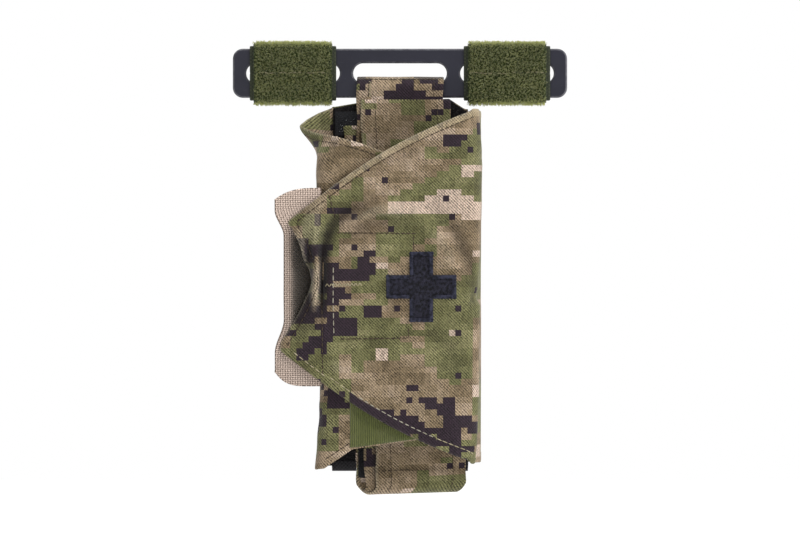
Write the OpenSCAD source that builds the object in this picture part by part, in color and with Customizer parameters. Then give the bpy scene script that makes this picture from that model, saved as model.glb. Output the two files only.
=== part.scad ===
// Tourniquet in a hanging wrap pouch.
// A slotted bar carries a fabric pouch on a webbing strap. Two flaps wrap a windlass
// tourniquet: the inner one from the left, the outer one from the right, and hook and
// loop fields hold them shut. A grab edge with a webbing handle rips the wrap open.
// Frame: X to the right, Z up, and the front towards -Y. The origin is the middle of the
// bar's length and height, on the plane that the backs of the two loop wraps share.

/* [Hanger bar] */
// Height of the bar
bar_height = 22; // [21:0.5:23]
// Thickness of the bar
bar_thickness = 3; // [2.6:0.1:3.2]
// Radius of the bar's four corners
bar_corner_r = 4.5; // [2:0.5:7]
// Chamfer on the bar's edges and on its slots
bar_chamfer = 0.7; // [0.4:0.1:0.9]
// Room in each of the three slots beside the webbing
slot_room = 4; // [3:0.5:5]
// Height of each slot
slot_height = 9; // [8.5:0.1:9.5]
// Width of the webs between the slots and at the bar's ends
slot_web = 6; // [5.5:0.5:9]

/* [Loop tape wraps] */
// Width of the loop tape around the bar
tape_width = 38; // [34:1:39]
// Thickness of the tape's woven backing
tape_backing = 1.2; // [1:0.1:1.4]
// Height of the pile on the tape
pile_height = 2.4; // [2.2:0.1:2.8]
// Bare woven margin at each side of the pile
pile_margin = 0.8; // [0.4:0.1:1.5]

/* [Straps] */
// Width of the hanger strap and of the tourniquet's band
webbing_width = 38; // [34:1:39]
// Thickness of all webbing
webbing_thickness = 1.3; // [1.1:0.1:1.5]
// Width of the closure strap over the hanger strap
closure_width = 39.5; // [36:0.5:42]
// Width of the adjuster strap behind the closure strap
adjuster_width = 43; // [40:1:46]
// How far the bottom fold hangs below the pouch
fold_drop = 12; // [10:1:18]
// Length of the strap's tail behind the pouch
tail_length = 78; // [60:1:95]
// Length of the hanger strap's two tails inside and behind the pouch
hanger_tail = 40; // [30:1:50]

/* [Pouch] */
// Width across the pouch's two sides
pouch_width = 72.8; // [70:0.2:78]
// Height of the pouch
pouch_height = 164.5; // [160:0.5:180]
// From the bar's middle down to the top edge of the pouch
pouch_drop = 12; // [11.8:0.1:14]
// Thickness of the outer fabric
fabric = 1.2; // [0.8:0.1:1.4]
// Thickness of the loop lining of the back
lining = 1.4; // [1:0.1:1.6]
// Thickness of a hook or loop field
field = 0.8; // [0.6:0.1:1]
// Radius of the pouch's corners, seen from above
corner_r = 6.4; // [4:0.2:8]

// Height of the notch in the back's lower edge, where the strap comes round
notch_height = 10; // [6:0.5:14]
// How far the folded-out lip at the upper left corner reaches
lip_reach = 8.2; // [6:0.2:9]
// From the pouch's top down to the lip's tip
lip_drop = 12; // [10:0.5:14]
// From the pouch's top down to where the lip ends on the left side
lip_foot_drop = 20.8; // [17:0.2:24]

/* [Flaps] */
// How far the grab edge's upper corner stands out past the pouch's left side
grab_top_reach = 13; // [9:0.5:16]
// How far its lower corner stands out
grab_bottom_reach = 16.5; // [11:0.5:18.5]
// From the pouch's top down to the grab edge's upper corner
grab_top_drop = 55; // [50:1:60]
// From the pouch's top down to its lower corner
grab_bottom_drop = 112; // [106:1:118]
// Depth of the waist in the grab edge
grab_waist = 8; // [3:0.5:9]
// Where the inner flap's free edge lies, right of the middle
inner_free_edge = 10; // [4:1:12]
// Width of a bound hem
hem_width = 2.4; // [1.5:0.1:3.5]
// Span of the cross patch
cross_span = 31; // [26:0.5:34]
// Width of the cross patch's arms
cross_arm = 10.4; // [8:0.2:12]
// Thickness of the cross patch
cross_thickness = 1; // [0.6:0.1:1.4]
// Width of the grab handle's webbing
handle_width = 16.5; // [14:0.5:18]
// Length of the grab handle, end to end
handle_length = 87; // [80:1:92]
// How far the handle bows out behind the grab edge
handle_bow = 13; // [10:0.5:15]

/* [Tourniquet] */
// Width of the strap that slides inside the band
inner_strap_width = 26; // [22:1:30]
// Thickness of the strap that slides inside the band
inner_strap_thickness = 1; // [0.8:0.1:1.3]
// Length of the base plate
plate_length = 62; // [50:1:70]
// Length of the folded tourniquet
tourniquet_length = 125; // [118:1:130]
// From the pouch's top down to the tourniquet's upper end
tourniquet_drop = 26; // [24:0.5:28]
// Diameter of the windlass rod
rod_d = 9.4; // [8:0.2:10.4]
// Length of the windlass rod
rod_length = 116; // [100:1:117]
// Layers of band folded inside the outer loop
tail_layers = 3; // [2:1:4]
// Thickness of the base plate and of the buckle
plate_thickness = 1.6; // [1.2:0.1:2]
// Width of the windlass clip along the rod
clip_width = 18; // [14:1:22]
// Width of the time strap over the windlass clip
time_strap_width = 15; // [12:1:17]

/* [Hidden] */

// Clearances: between layers of one body, and between bodies
layer_gap = 0.15;
body_gap = 0.3;
// Room around the bar's rail for the strap that turns on it
turn_gap = 0.2;
// Slack of the hanger strap above the rail
loop_slack = 1.2;
// Room beside the grab handle for the inner flap's wall as both flaps open
handle_clear = 1.6;
// Reach of a cutter past what it cuts
past = 4;
// Steps of a curve that a loop draws
curve_steps = 12;

slot_length = webbing_width + slot_room;
slot_pitch = slot_length + slot_web;
bar_length = 3 * slot_length + 4 * slot_web;
wrap_edge = slot_pitch - tape_width / 2;

// Depths are distances in front of the carrier plane: y = -depth.
bar_depth = pile_height + tape_backing + bar_thickness / 2;
rail_height = (bar_height - slot_height) / 2;
rail_z = -(slot_height + rail_height) / 2;
hanger_r = norm([rail_height, bar_thickness]) / 2 + turn_gap;
// At the bottom fold the adjuster strap turns inside and the closure strap outside it.
fold_inner_r = (fabric + lining) / 2 + layer_gap;
adjuster_r = fold_inner_r + webbing_thickness / 2;
closure_r = adjuster_r + webbing_thickness + layer_gap;
fold_depth = closure_r + webbing_thickness / 2 + body_gap;
tail_depth = fold_depth - closure_r - webbing_thickness / 2;
panel_depth = fold_depth - fold_inner_r + layer_gap;
hanger_rear_depth = panel_depth - layer_gap - webbing_thickness;
lining_depth = panel_depth + fabric;
adjuster_depth = lining_depth + lining + layer_gap;
hanger_depth = adjuster_depth + webbing_thickness + layer_gap;
closure_depth = hanger_depth + webbing_thickness + layer_gap;
tourniquet_depth = closure_depth + webbing_thickness + body_gap;

// The tourniquet's layers, from the back to the front
band_void = tail_layers * webbing_thickness + (tail_layers + 1) * layer_gap;
band_height = band_void + 2 * webbing_thickness;
inner_strap_depth = tourniquet_depth + band_height + layer_gap;
plate_depth = inner_strap_depth + inner_strap_thickness + layer_gap;
plate_front = plate_depth + plate_thickness;
rod_depth = plate_front + layer_gap + rod_d / 2;
time_strap_thickness = 0.9;
time_strap_depth = rod_depth + rod_d / 2 + layer_gap;
tourniquet_front = time_strap_depth + time_strap_thickness;
tourniquet_top = tourniquet_drop;
tourniquet_middle = tourniquet_drop + tourniquet_length / 2;
// The base plate starts below the buckle.
buckle_length = 26;
buckle_rim = 3;
buckle_width = webbing_width + 2 * buckle_rim;
buckle_slot = 4.5;
buckle_drop = tourniquet_drop + band_height / 2;
plate_middle = buckle_drop + buckle_length + buckle_rim + plate_length / 2;
clip_wall = 1.8;
// The clip's arms reach this far past the rod's middle.
clip_grip = 2.4;

inner_flap_depth = tourniquet_front + body_gap;
loop_field_depth = inner_flap_depth + fabric;
hook_field_depth = loop_field_depth + field + body_gap;
outer_flap_depth = hook_field_depth + field;
front_depth = outer_flap_depth + fabric;
hem_thickness = 0.6;
// Both flaps turn about lines at the middle of the side walls, so they open flat.
hinge_depth = front_depth / 2;
hinge_offset = 0.7;

half = pouch_width / 2;
side_flat = half - corner_r;
top_z = -pouch_drop;
bottom_z = top_z - pouch_height;
fold_z = bottom_z - fold_drop + closure_r + webbing_thickness / 2;
binding_height = 2;

// Where the straps' middles lie: they lean from the bar towards the lower right.
closure_top_x = 2.2;
closure_bottom_x = 9.8;
adjuster_top_x = -3.5;
adjuster_bottom_x = 6.5;
adjuster_end_x = 4;
tail_x = 0.5;
closure_top_z = top_z - 0.4;
adjuster_top_z = top_z - 12;
// Tilt of the bottom fold across the straps, in degrees
fold_tilt = 3.5;

// The shoulders stay low enough to swing clear of the loop wraps.
wrap_clear = 1;
left_shoulder_drop = bar_height / 2 + tape_backing + pile_height + wrap_clear - pouch_drop;
right_shoulder_drop = left_shoulder_drop + wrap_clear;
shoulder_x = min(wrap_edge, side_flat - 1);

// The notch in the back's lower edge clears the tail at its left.
notch_left = tail_x - closure_width / 2 - body_gap;
notch_right = side_flat - 6;

// Outline marks of the pouch: x, and the drop below the pouch's top edge
outer_top_right = [half - 2.7, right_shoulder_drop + 0.8];
outer_bottom_right = [half - 2.1, pouch_height - 2.5];
grab_top = [-half - grab_top_reach, grab_top_drop];
grab_bottom = [-half - grab_bottom_reach, grab_bottom_drop];
top_hem_bulge = -5.3;
bottom_hem_bulge = 5.6;
inner_top_left = [-half, 16.2];
inner_top_right = [inner_free_edge, 33];
inner_top_bulge = -2.5;
inner_bottom_right = [inner_free_edge, pouch_height - 13.7];
inner_bottom_bend = [-21, pouch_height - 9.1];
inner_bottom_left = [-half + 2.9, pouch_height - 0.8];
back_top_left = [11 - shoulder_x, 1.7];
back_top_right = [shoulder_x - 7, 0];
// The folded-out lip at the pouch's upper left corner
lip_tip = [-half - lip_reach, lip_drop];
lip_top = mix([-half, left_shoulder_drop], lip_tip, 0.42) + [0, -0.4];
// The grab edge turns about a line just outside the pouch's left side.
grab_line = -half - 0.6;
cross_middle = [9.4, 84];
// The hook field on the outer flap, and the loop field that it meets
hook_field_from = [-29.5, 59.4];
hook_field_to = [4.9, 106.7];
loop_field_left = -22;
loop_field_top = 50;

function mix(a, b, t) = a * (1 - t) + b * t;
function unit(v) = v / norm(v);
function reversed(list) = [for (i = [len(list) - 1 : -1 : 0]) list[i]];
// A line from a to b that bulges downwards by the given drop at its middle
function hem_line(a, b, bulge) =
    [for (i = [0 : curve_steps])
        let (t = i / curve_steps)
        mix(a, b, t) + [0, bulge * sin(180 * t)]];
// The grab edge's waisted line, from its upper corner to its lower one
function waist_line(a, b, waist) =
    [for (i = [0 : curve_steps])
        let (t = i / curve_steps)
        mix(a, b, t) + [waist * pow(sin(180 * t), 2), 0]];
// The band between a line and the same line moved
function line_band(line, move) = concat(line, reversed([for (p = line) p + move]));

outer_top_line = hem_line(outer_top_right, grab_top, top_hem_bulge);
outer_bottom_line = hem_line(grab_bottom, outer_bottom_right, bottom_hem_bulge);
outer_outline = concat(
    [[half + past, outer_top_right[1]]], outer_top_line,
    waist_line(grab_top, grab_bottom, grab_waist), outer_bottom_line,
    [[half + past, outer_bottom_right[1]]]);
inner_top_line = hem_line(inner_top_left, inner_top_right, inner_top_bulge);
inner_outline = concat(
    [[-half - past, inner_top_left[1]]], inner_top_line,
    [inner_bottom_right, inner_bottom_bend, inner_bottom_left,
     [-half - past, inner_bottom_left[1]]]);

// A plate parallel to the front: an outline of [x, drop] marks, from one depth forward
module front_plate(outline, depth, thickness) {
    translate([0, -depth, 0])
        rotate([90, 0, 0])
            linear_extrude(thickness)
                polygon([for (p = outline) [p[0], top_z - p[1]]]);
}

module front_box(from, to, depth, thickness) {
    front_plate([from, [to[0], from[1]], to, [from[0], to[1]]], depth, thickness);
}

// A profile drawn as [depth, z], drawn out along X
module along_x(length, x = 0) {
    translate([x - length / 2, 0, 0])
        rotate([90, 0, 90])
            linear_extrude(length)
                mirror([1, 0])
                    children();
}

// A section seen from above, drawn as [x, depth], between two drops
module upright(drop_from, drop_to) {
    translate([0, 0, top_z - drop_to])
        linear_extrude(drop_to - drop_from)
            mirror([0, 1])
                children();
}

module rounded_rectangle(size, r) {
    for (x = [-1, 1])
        for (y = [-1, 1])
            translate([x * (size[0] / 2 - r), y * (size[1] / 2 - r)])
                circle(r, $fn = 48);
    square([size[0] - 2 * r, size[1]], center = true);
    square([size[0], size[1] - 2 * r], center = true);
}

module stadium(length, height) {
    for (x = [-1, 1])
        translate([x * (length - height) / 2, 0])
            circle(d = height, $fn = 48);
    square([length - height, height], center = true);
}

// Webbing swept along its middles, flat across X and tilted by an angle at each middle
module ribbon(middles, width, thickness, tilts) {
    last = len(middles) - 1;
    rings = [for (i = [0 : last])
        let (
            along = unit(middles[min(i + 1, last)] - middles[max(i - 1, 0)]),
            across = [cos(tilts[i]), 0, sin(tilts[i])],
            out = unit(cross(along, across)) * thickness / 2,
            side = across * width / 2
        )
        [middles[i] - side - out, middles[i] + side - out,
         middles[i] + side + out, middles[i] - side + out]];
    walls = [for (i = [0 : last - 1]) for (k = [0 : 3])
        let (a = 4 * i + k, b = 4 * i + (k + 1) % 4)
        each [[a, b, b + 4], [a, b + 4, a + 4]]];
    polyhedron([for (ring = rings) for (p = ring) p],
               concat([[0, 2, 1], [0, 3, 2]], walls,
                      [[4 * last, 4 * last + 1, 4 * last + 2],
                       [4 * last, 4 * last + 2, 4 * last + 3]]));
}

// Middles of a half turn at the bottom fold, from front to back
function half_turn(x_from, x_to, r) =
    [for (i = [0 : curve_steps])
        let (t = i / curve_steps)
        [mix(x_from, x_to, t), -fold_depth - r * cos(180 * t), fold_z - r * sin(180 * t)]];
half_turn_tilts = [for (i = [0 : curve_steps]) fold_tilt * (1 - i / curve_steps)];

// ---------------------------------------------------------------- hanger bar

module bar_blank() {
    straight = bar_thickness - 2 * bar_chamfer;
    hull()
        for (x = [-1, 1])
            for (z = [-1, 1])
                translate([x * (bar_length / 2 - bar_corner_r), -bar_depth,
                           z * (bar_height / 2 - bar_corner_r)])
                    rotate([90, 0, 0]) {
                        cylinder(h = straight, r = bar_corner_r, center = true, $fn = 32);
                        cylinder(h = bar_thickness, r = bar_corner_r - bar_chamfer,
                                 center = true, $fn = 32);
                    }
}

// The flare at a slot's mouth: two cones and the wedge between them
module slot_flare() {
    r = slot_height / 2;
    run = slot_length - slot_height;
    rise = 2 * bar_chamfer;
    for (x = [-1, 1])
        translate([x * run / 2, 0, 0])
            cylinder(h = rise, r1 = r, r2 = r + rise, $fn = 48);
    translate([-run / 2, 0, 0])
        rotate([90, 0, 90])
            linear_extrude(run)
                polygon([[-r, 0], [r, 0], [r + rise, rise], [-r - rise, rise]]);
}

module slot_cutter() {
    translate([0, -bar_depth, 0])
        rotate([90, 0, 0]) {
            linear_extrude(bar_thickness + past, center = true)
                stadium(slot_length, slot_height);
            for (face = [0, 1])
                mirror([0, 0, face])
                    translate([0, 0, bar_thickness / 2 - bar_chamfer])
                        slot_flare();
        }
}

module hanger_bar() {
    color([0.07, 0.08, 0.11])
        difference() {
            bar_blank();
            for (i = [-1, 0, 1])
                translate([i * slot_pitch, 0, 0])
                    slot_cutter();
        }
}

// Loop tape sewn around the bar: a woven ring with a narrower ring of pile on it
module loop_wrap(side) {
    x = side * slot_pitch;
    ring = [bar_thickness, bar_height];
    pile = tape_backing + pile_height;
    color([0.25, 0.33, 0.14])
        difference() {
            union() {
                along_x(tape_width, x)
                    translate([bar_depth, 0])
                        rounded_rectangle(ring + [2, 2] * tape_backing, tape_backing);
                along_x(tape_width - 2 * pile_margin, x)
                    translate([bar_depth, 0])
                        rounded_rectangle(ring + [2, 2] * pile, pile);
            }
            along_x(tape_width + past, x)
                translate([bar_depth, 0])
                    square(ring, center = true);
        }
}

module left_loop_wrap() loop_wrap(-1);
module right_loop_wrap() loop_wrap(1);

// ---------------------------------------------------------------- straps

// The hanger strap's side view, filled: over the rail, then in to the pouch's layers
module hanger_shape(r, rear_depth, front_depth, end_z) {
    middle_z = rail_z + loop_slack;
    translate([bar_depth, middle_z])
        circle(r, $fn = 64);
    polygon([[bar_depth - r, middle_z], [bar_depth - r, rail_z],
             [rear_depth, top_z - past], [rear_depth, end_z],
             [front_depth, end_z], [front_depth, top_z],
             [bar_depth + r, rail_z], [bar_depth + r, middle_z]]);
}

module hanger_strap() {
    t = webbing_thickness;
    end_z = top_z - hanger_tail;
    color([0.46, 0.42, 0.30])
        along_x(webbing_width)
            difference() {
                hanger_shape(hanger_r + t, hanger_rear_depth, hanger_depth + t, end_z);
                hanger_shape(hanger_r, hanger_rear_depth + t, hanger_depth, end_z - past);
            }
}

// The adjuster strap: down inside the pouch and round its bottom edge
module adjuster_strap() {
    front = -(adjuster_depth + webbing_thickness / 2);
    middles = concat([[adjuster_top_x, front, adjuster_top_z]],
                     half_turn(adjuster_bottom_x, adjuster_end_x, adjuster_r));
    color([0.44, 0.41, 0.28])
        ribbon(middles, adjuster_width, webbing_thickness, concat([0], half_turn_tilts));
}

// The closure strap: over the hanger strap, down inside, and round the adjuster strap
module closure_strap() {
    upper = -(closure_depth + webbing_thickness / 2);
    lower = -(fold_depth + closure_r);
    knee_drop = hanger_tail + 4;
    knee_run = 12;
    lean = (closure_bottom_x - closure_top_x) / (closure_top_z - fold_z);
    middles = concat([
        [closure_top_x, upper, closure_top_z],
        [closure_top_x + lean * knee_drop, upper, top_z - knee_drop],
        [closure_top_x + lean * (knee_drop + knee_run), lower, top_z - knee_drop - knee_run]],
        half_turn(closure_bottom_x, tail_x, closure_r));
    color([0.46, 0.44, 0.30])
        ribbon(middles, closure_width, webbing_thickness,
               concat([0, 0, 0], half_turn_tilts));
}

// The closure strap's tail, up behind the pouch: it peels off the back
module strap_tail() {
    color([0.44, 0.41, 0.28])
        translate([tail_x - closure_width / 2, -tail_depth - webbing_thickness,
                   fold_z + body_gap])
            cube([closure_width, webbing_thickness, tail_length]);
}

// Hook patch between the tail and the pouch's back
module tail_hook_patch() {
    margin = 3;
    side_margin = 0.8;
    thickness = panel_depth - body_gap - tail_depth - webbing_thickness;
    color([0.03, 0.03, 0.035])
        translate([tail_x - closure_width / 2 + side_margin,
                   -tail_depth - webbing_thickness - thickness, fold_z + margin])
            cube([closure_width - 2 * side_margin, thickness,
                  body_gap + tail_length - 2 * margin]);
}

// ---------------------------------------------------------------- pouch back

function back_outline(inset) = [
    [-side_flat + inset, left_shoulder_drop + inset],
    [-shoulder_x + inset, left_shoulder_drop + inset], back_top_left + [0, inset],
    back_top_right + [0, inset], [shoulder_x - inset, right_shoulder_drop + inset],
    [side_flat - inset, right_shoulder_drop + inset],
    [side_flat - inset, pouch_height - inset], [notch_right + inset, pouch_height - inset],
    [notch_right + inset, pouch_height - notch_height - inset],
    [notch_left - inset, pouch_height - notch_height - inset],
    [notch_left - inset, pouch_height - inset], [-side_flat + inset, pouch_height - inset]];

module back_panel() {
    color([0.45, 0.42, 0.30])
        front_plate(back_outline(0), panel_depth, fabric);
}

module back_lining() {
    inset = 0.6;
    color([0.02, 0.02, 0.025])
        front_plate(back_outline(inset), lining_depth, lining);
}

// Binding under the back's lower edge, on both sides of the notch
module bottom_binding() {
    color([0.05, 0.05, 0.05])
        for (run = [[-side_flat, notch_left], [notch_right, side_flat]])
            front_box([run[0], pouch_height], [run[1], pouch_height + binding_height],
                      panel_depth, fabric + lining);
}

// Hook strip on the lining, beside the upper end of the adjuster strap
module lining_hook_strip() {
    top = 5.4;
    left = -side_flat + 1;
    right = -webbing_width / 2;
    beside = adjuster_top_x - adjuster_width / 2 - body_gap;
    adjuster_top = top_z - adjuster_top_z;
    color([0.03, 0.03, 0.035])
        front_plate([[left, top], [right, top], [right, adjuster_top - body_gap],
                     [beside, adjuster_top - body_gap], [beside, adjuster_top + past],
                     [left, adjuster_top + past]], lining_depth + lining, field);
}

// ---------------------------------------------------------------- side walls

// The fabric ring of back, sides and front, seen from above
module wall_ring(front) {
    size = [pouch_width, front - panel_depth];
    translate([0, (front + panel_depth) / 2])
        difference() {
            rounded_rectangle(size, corner_r);
            rounded_rectangle(size - [2, 2] * fabric, corner_r - fabric);
        }
}

// One side of the ring between two depths
module side_wall(side, front, depth_from, depth_to) {
    intersection() {
        wall_ring(front);
        translate([side > 0 ? side_flat : -half - past, depth_from])
            square([corner_r + past, depth_to - depth_from]);
    }
}

module outer_flap_root() {
    color([0.46, 0.43, 0.31])
        upright(outer_top_right[1], outer_bottom_right[1])
            side_wall(1, front_depth, 0, hinge_depth - body_gap / 2);
}

module inner_flap_root() {
    seat = -half + fabric;
    color([0.42, 0.42, 0.27]) {
        upright(left_shoulder_drop, inner_bottom_left[1])
            side_wall(-1, front_depth, 0, hinge_depth - body_gap / 2);
        front_plate([[seat, left_shoulder_drop], [-half, left_shoulder_drop], lip_top,
                     lip_tip, [-half, lip_foot_drop], [seat, lip_foot_drop]],
                    panel_depth + corner_r, fabric);
    }
}

// ---------------------------------------------------------------- outer flap

// The outer flap's fabric between two x marks
module outer_shell(x_from, x_to) {
    intersection() {
        upright(-past, pouch_height + past) {
            side_wall(1, front_depth, hinge_depth + body_gap / 2, front_depth + past);
            translate([-2 * half, outer_flap_depth])
                square([2 * half + side_flat, fabric]);
        }
        front_plate(outer_outline, 0, front_depth + past);
        front_box([x_from, -past], [x_to, pouch_height + past], 0, front_depth + past);
    }
}

module outer_flap() {
    color([0.46, 0.43, 0.31])
        outer_shell(grab_line + body_gap, half + past);
}

module outer_flap_hook_field() {
    color([0.05, 0.05, 0.05])
        front_box(hook_field_from, hook_field_to, hook_field_depth, field);
}

// A raised hem along one of the outer flap's lines, kept off the corner
module outer_hem(line, width) {
    color([0.62, 0.56, 0.44])
        intersection() {
            front_plate(line_band(line, [0, width]), front_depth, hem_thickness);
            front_box([grab_line + body_gap, 0], [side_flat, pouch_height],
                      front_depth - past, 2 * past);
        }
}

module outer_flap_top_hem() outer_hem(outer_top_line, hem_width);
module outer_flap_bottom_hem() outer_hem(outer_bottom_line, -hem_width * 1.6);

module cross_patch() {
    color([0.02, 0.02, 0.03])
        translate([cross_middle[0], -front_depth, top_z - cross_middle[1]])
            rotate([90, 0, 0])
                linear_extrude(cross_thickness) {
                    square([cross_span, cross_arm], center = true);
                    square([cross_arm, cross_span], center = true);
                }
}

// ---------------------------------------------------------------- grab edge

module grab_edge() {
    color([0.46, 0.43, 0.31])
        outer_shell(-2 * half, grab_line);
}

handle_drop = (grab_top_drop + grab_bottom_drop) / 2;
handle_x = grab_line - handle_clear - handle_width / 2;
handle_end = 12;
handle_thickness = webbing_thickness;

// The handle's rear line as [depth, drop]: sewn flat at both ends and bowed between
function handle_line(extra) =
    [for (i = [0 : 2 * curve_steps])
        let (
            t = i / (2 * curve_steps),
            drop = handle_drop - handle_length / 2 + handle_length * t,
            from_end = handle_length / 2 - abs(drop - handle_drop),
            rise = max(0, min(1, (from_end - handle_end) / (handle_length / 4)))
        )
        [outer_flap_depth - extra - handle_bow * (1 - cos(180 * rise)) / 2, drop]];

module grab_handle() {
    outline = concat(handle_line(0), reversed(handle_line(handle_thickness)));
    color([0.55, 0.48, 0.38])
        along_x(handle_width, handle_x)
            polygon([for (p = outline) [p[0], top_z - p[1]]]);
}

// Bar tacks that hold the handle's ends
module handle_bartacks() {
    size = [handle_width - 5, 2];
    thickness = 0.7;
    color([0.35, 0.30, 0.22])
        for (end = [-1, 1])
            translate([0, 0, end * (handle_length / 2 - handle_end / 2)])
                front_box([handle_x - size[0] / 2, handle_drop - size[1] / 2],
                          [handle_x + size[0] / 2, handle_drop + size[1] / 2],
                          outer_flap_depth - handle_thickness - thickness, thickness);
}

// ---------------------------------------------------------------- inner flap

module inner_flap() {
    color([0.42, 0.42, 0.27])
        intersection() {
            upright(-past, pouch_height + past) {
                side_wall(-1, loop_field_depth, hinge_depth + body_gap / 2,
                          loop_field_depth + past);
                translate([-side_flat, inner_flap_depth])
                    square([side_flat + inner_free_edge, fabric]);
            }
            union() {
                front_plate(inner_outline, inner_flap_depth - past, 2 * past);
                // Below the lip the side wall is full height.
                front_box([-half - past, lip_foot_drop + body_gap],
                          [-side_flat, inner_bottom_left[1]], 0, inner_flap_depth - past);
            }
        }
}

module inner_flap_loop_field() {
    right = inner_free_edge - 0.5;
    bend = inner_bottom_bend + [0, -0.6];
    foot = inner_bottom_right + [right - inner_bottom_right[0], -0.6];
    color([0.22, 0.30, 0.10])
        front_plate([[loop_field_left, loop_field_top], [right, loop_field_top], foot,
                     bend + [loop_field_left - bend[0] + 1, 0], [loop_field_left, bend[1]]],
                    loop_field_depth, field);
}

module inner_flap_hem() {
    color([0.40, 0.42, 0.24])
        intersection() {
            front_plate(line_band(inner_top_line, [0, hem_width]), loop_field_depth,
                        hem_thickness);
            front_box([-side_flat, 0], [inner_free_edge, pouch_height],
                      loop_field_depth - past, 2 * past);
        }
}

// ---------------------------------------------------------------- tourniquet

tourniquet_z = top_z - tourniquet_middle;

// The band's outer loop, pressed flat
module band_loop() {
    outer = [band_height, tourniquet_length];
    r = band_height / 2 - layer_gap;
    color([0.05, 0.05, 0.05])
        along_x(webbing_width)
            translate([tourniquet_depth + band_height / 2, tourniquet_z])
                difference() {
                    rounded_rectangle(outer, r);
                    rounded_rectangle(outer - [2, 2] * webbing_thickness,
                                      r - webbing_thickness);
                }
}

// The band's spare length, folded to and fro inside the loop
module band_folds() {
    t = webbing_thickness;
    run = tourniquet_length - 2 * band_height;
    pitch = t + layer_gap;
    turn_r = t + layer_gap / 2;
    color([0.07, 0.07, 0.07])
        along_x(webbing_width - 1)
            translate([tourniquet_depth + t + layer_gap, tourniquet_z]) {
                for (i = [0 : tail_layers - 1])
                    translate([i * pitch, -run / 2])
                        square([t, run]);
                for (i = [0 : tail_layers - 2])
                    mirror([0, i % 2])
                        translate([i * pitch + turn_r, run / 2])
                            intersection() {
                                difference() {
                                    circle(turn_r, $fn = 32);
                                    circle(layer_gap / 2, $fn = 32);
                                }
                                translate([-turn_r, 0])
                                    square([2 * turn_r, turn_r]);
                            }
            }
}

module inner_strap() {
    length = tourniquet_length - band_height;
    color([0.09, 0.09, 0.09])
        front_box([-inner_strap_width / 2, tourniquet_middle - length / 2],
                  [inner_strap_width / 2, tourniquet_middle + length / 2],
                  inner_strap_depth, inner_strap_thickness);
}

module base_plate() {
    color([0.04, 0.04, 0.04])
        translate([0, -plate_depth, top_z - plate_middle])
            rotate([90, 0, 0])
                linear_extrude(plate_thickness)
                    rounded_rectangle([webbing_width, plate_length], corner_r / 2);
}

// Buckle frame with two slots for the band
module friction_buckle() {
    middle = buckle_drop + buckle_length / 2;
    color([0.04, 0.04, 0.04])
        translate([0, -plate_depth, top_z - middle])
            rotate([90, 0, 0])
                linear_extrude(plate_thickness)
                    difference() {
                        rounded_rectangle([buckle_width, buckle_length], corner_r / 2);
                        for (end = [-1, 1])
                            translate([0, end * buckle_length / 4])
                                square([webbing_width, buckle_slot], center = true);
                    }
}

module windlass_rod() {
    tip = rod_d / 5;
    color([0.06, 0.06, 0.06])
        translate([0, -rod_depth, tourniquet_z]) {
            cylinder(h = rod_length - 2 * tip, d = rod_d, center = true, $fn = 48);
            for (end = [0, 1])
                mirror([0, 0, end])
                    translate([0, 0, rod_length / 2 - tip])
                        cylinder(h = tip, r1 = rod_d / 2, r2 = rod_d / 2 - tip, $fn = 48);
        }
}

// Two curved arms on the plate that hold the rod
module windlass_clip() {
    bore = rod_d / 2 + layer_gap;
    color([0.05, 0.05, 0.05])
        upright(plate_middle - clip_width / 2, plate_middle + clip_width / 2)
            difference() {
                union() {
                    translate([0, rod_depth])
                        circle(bore + clip_wall, $fn = 64);
                    translate([-bore - clip_wall, plate_front])
                        square([2 * (bore + clip_wall), rod_depth - plate_front]);
                }
                translate([0, rod_depth])
                    circle(bore, $fn = 64);
                translate([-webbing_width / 2, plate_front - 2 * past])
                    square([webbing_width, 2 * past]);
                translate([-webbing_width / 2, rod_depth + clip_grip])
                    square([webbing_width, 2 * past]);
            }
}

// Strap over the clip, on which the time is written
module time_strap() {
    t = time_strap_thickness;
    foot = webbing_width / 2 - 1;
    top = rod_d / 2 + clip_wall + 1.5;
    under = time_strap_depth;
    color([0.75, 0.75, 0.72])
        upright(plate_middle - time_strap_width / 2, plate_middle + time_strap_width / 2)
            polygon([[-foot, plate_front], [-foot + t + 0.4, plate_front], [-top, under],
                     [top, under], [foot - t - 0.4, plate_front], [foot, plate_front],
                     [top + t / 2, under + t], [-top - t / 2, under + t]]);
}

// ---------------------------------------------------------------- all nodes

hanger_bar();
left_loop_wrap();
right_loop_wrap();
hanger_strap();
back_panel();
back_lining();
bottom_binding();
lining_hook_strip();
outer_flap_root();
inner_flap_root();
adjuster_strap();
closure_strap();
strap_tail();
tail_hook_patch();
outer_flap();
outer_flap_hook_field();
outer_flap_top_hem();
outer_flap_bottom_hem();
cross_patch();
grab_edge();
grab_handle();
handle_bartacks();
inner_flap();
inner_flap_loop_field();
inner_flap_hem();
band_loop();
band_folds();
inner_strap();
base_plate();
friction_buckle();
windlass_rod();
windlass_clip();
time_strap();
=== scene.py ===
# %% [markdown]
# # A tourniquet in its hanging pouch
# A slotted aluminium bar is held on a belt or a vest by the two loop-pile wraps around it.
# A camouflage pouch hangs from the bar's middle slot on a flat strap. Two flaps wrap the
# tourniquet inside: the inner one comes from the left, the outer one from the right.
#
# The CAD model fixes every size and every joint. This script dresses it: each cell says what a
# piece is on the real object, how it could be made, and why it is made in the way chosen.

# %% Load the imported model
import math
from functools import partial
from types import SimpleNamespace

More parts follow.
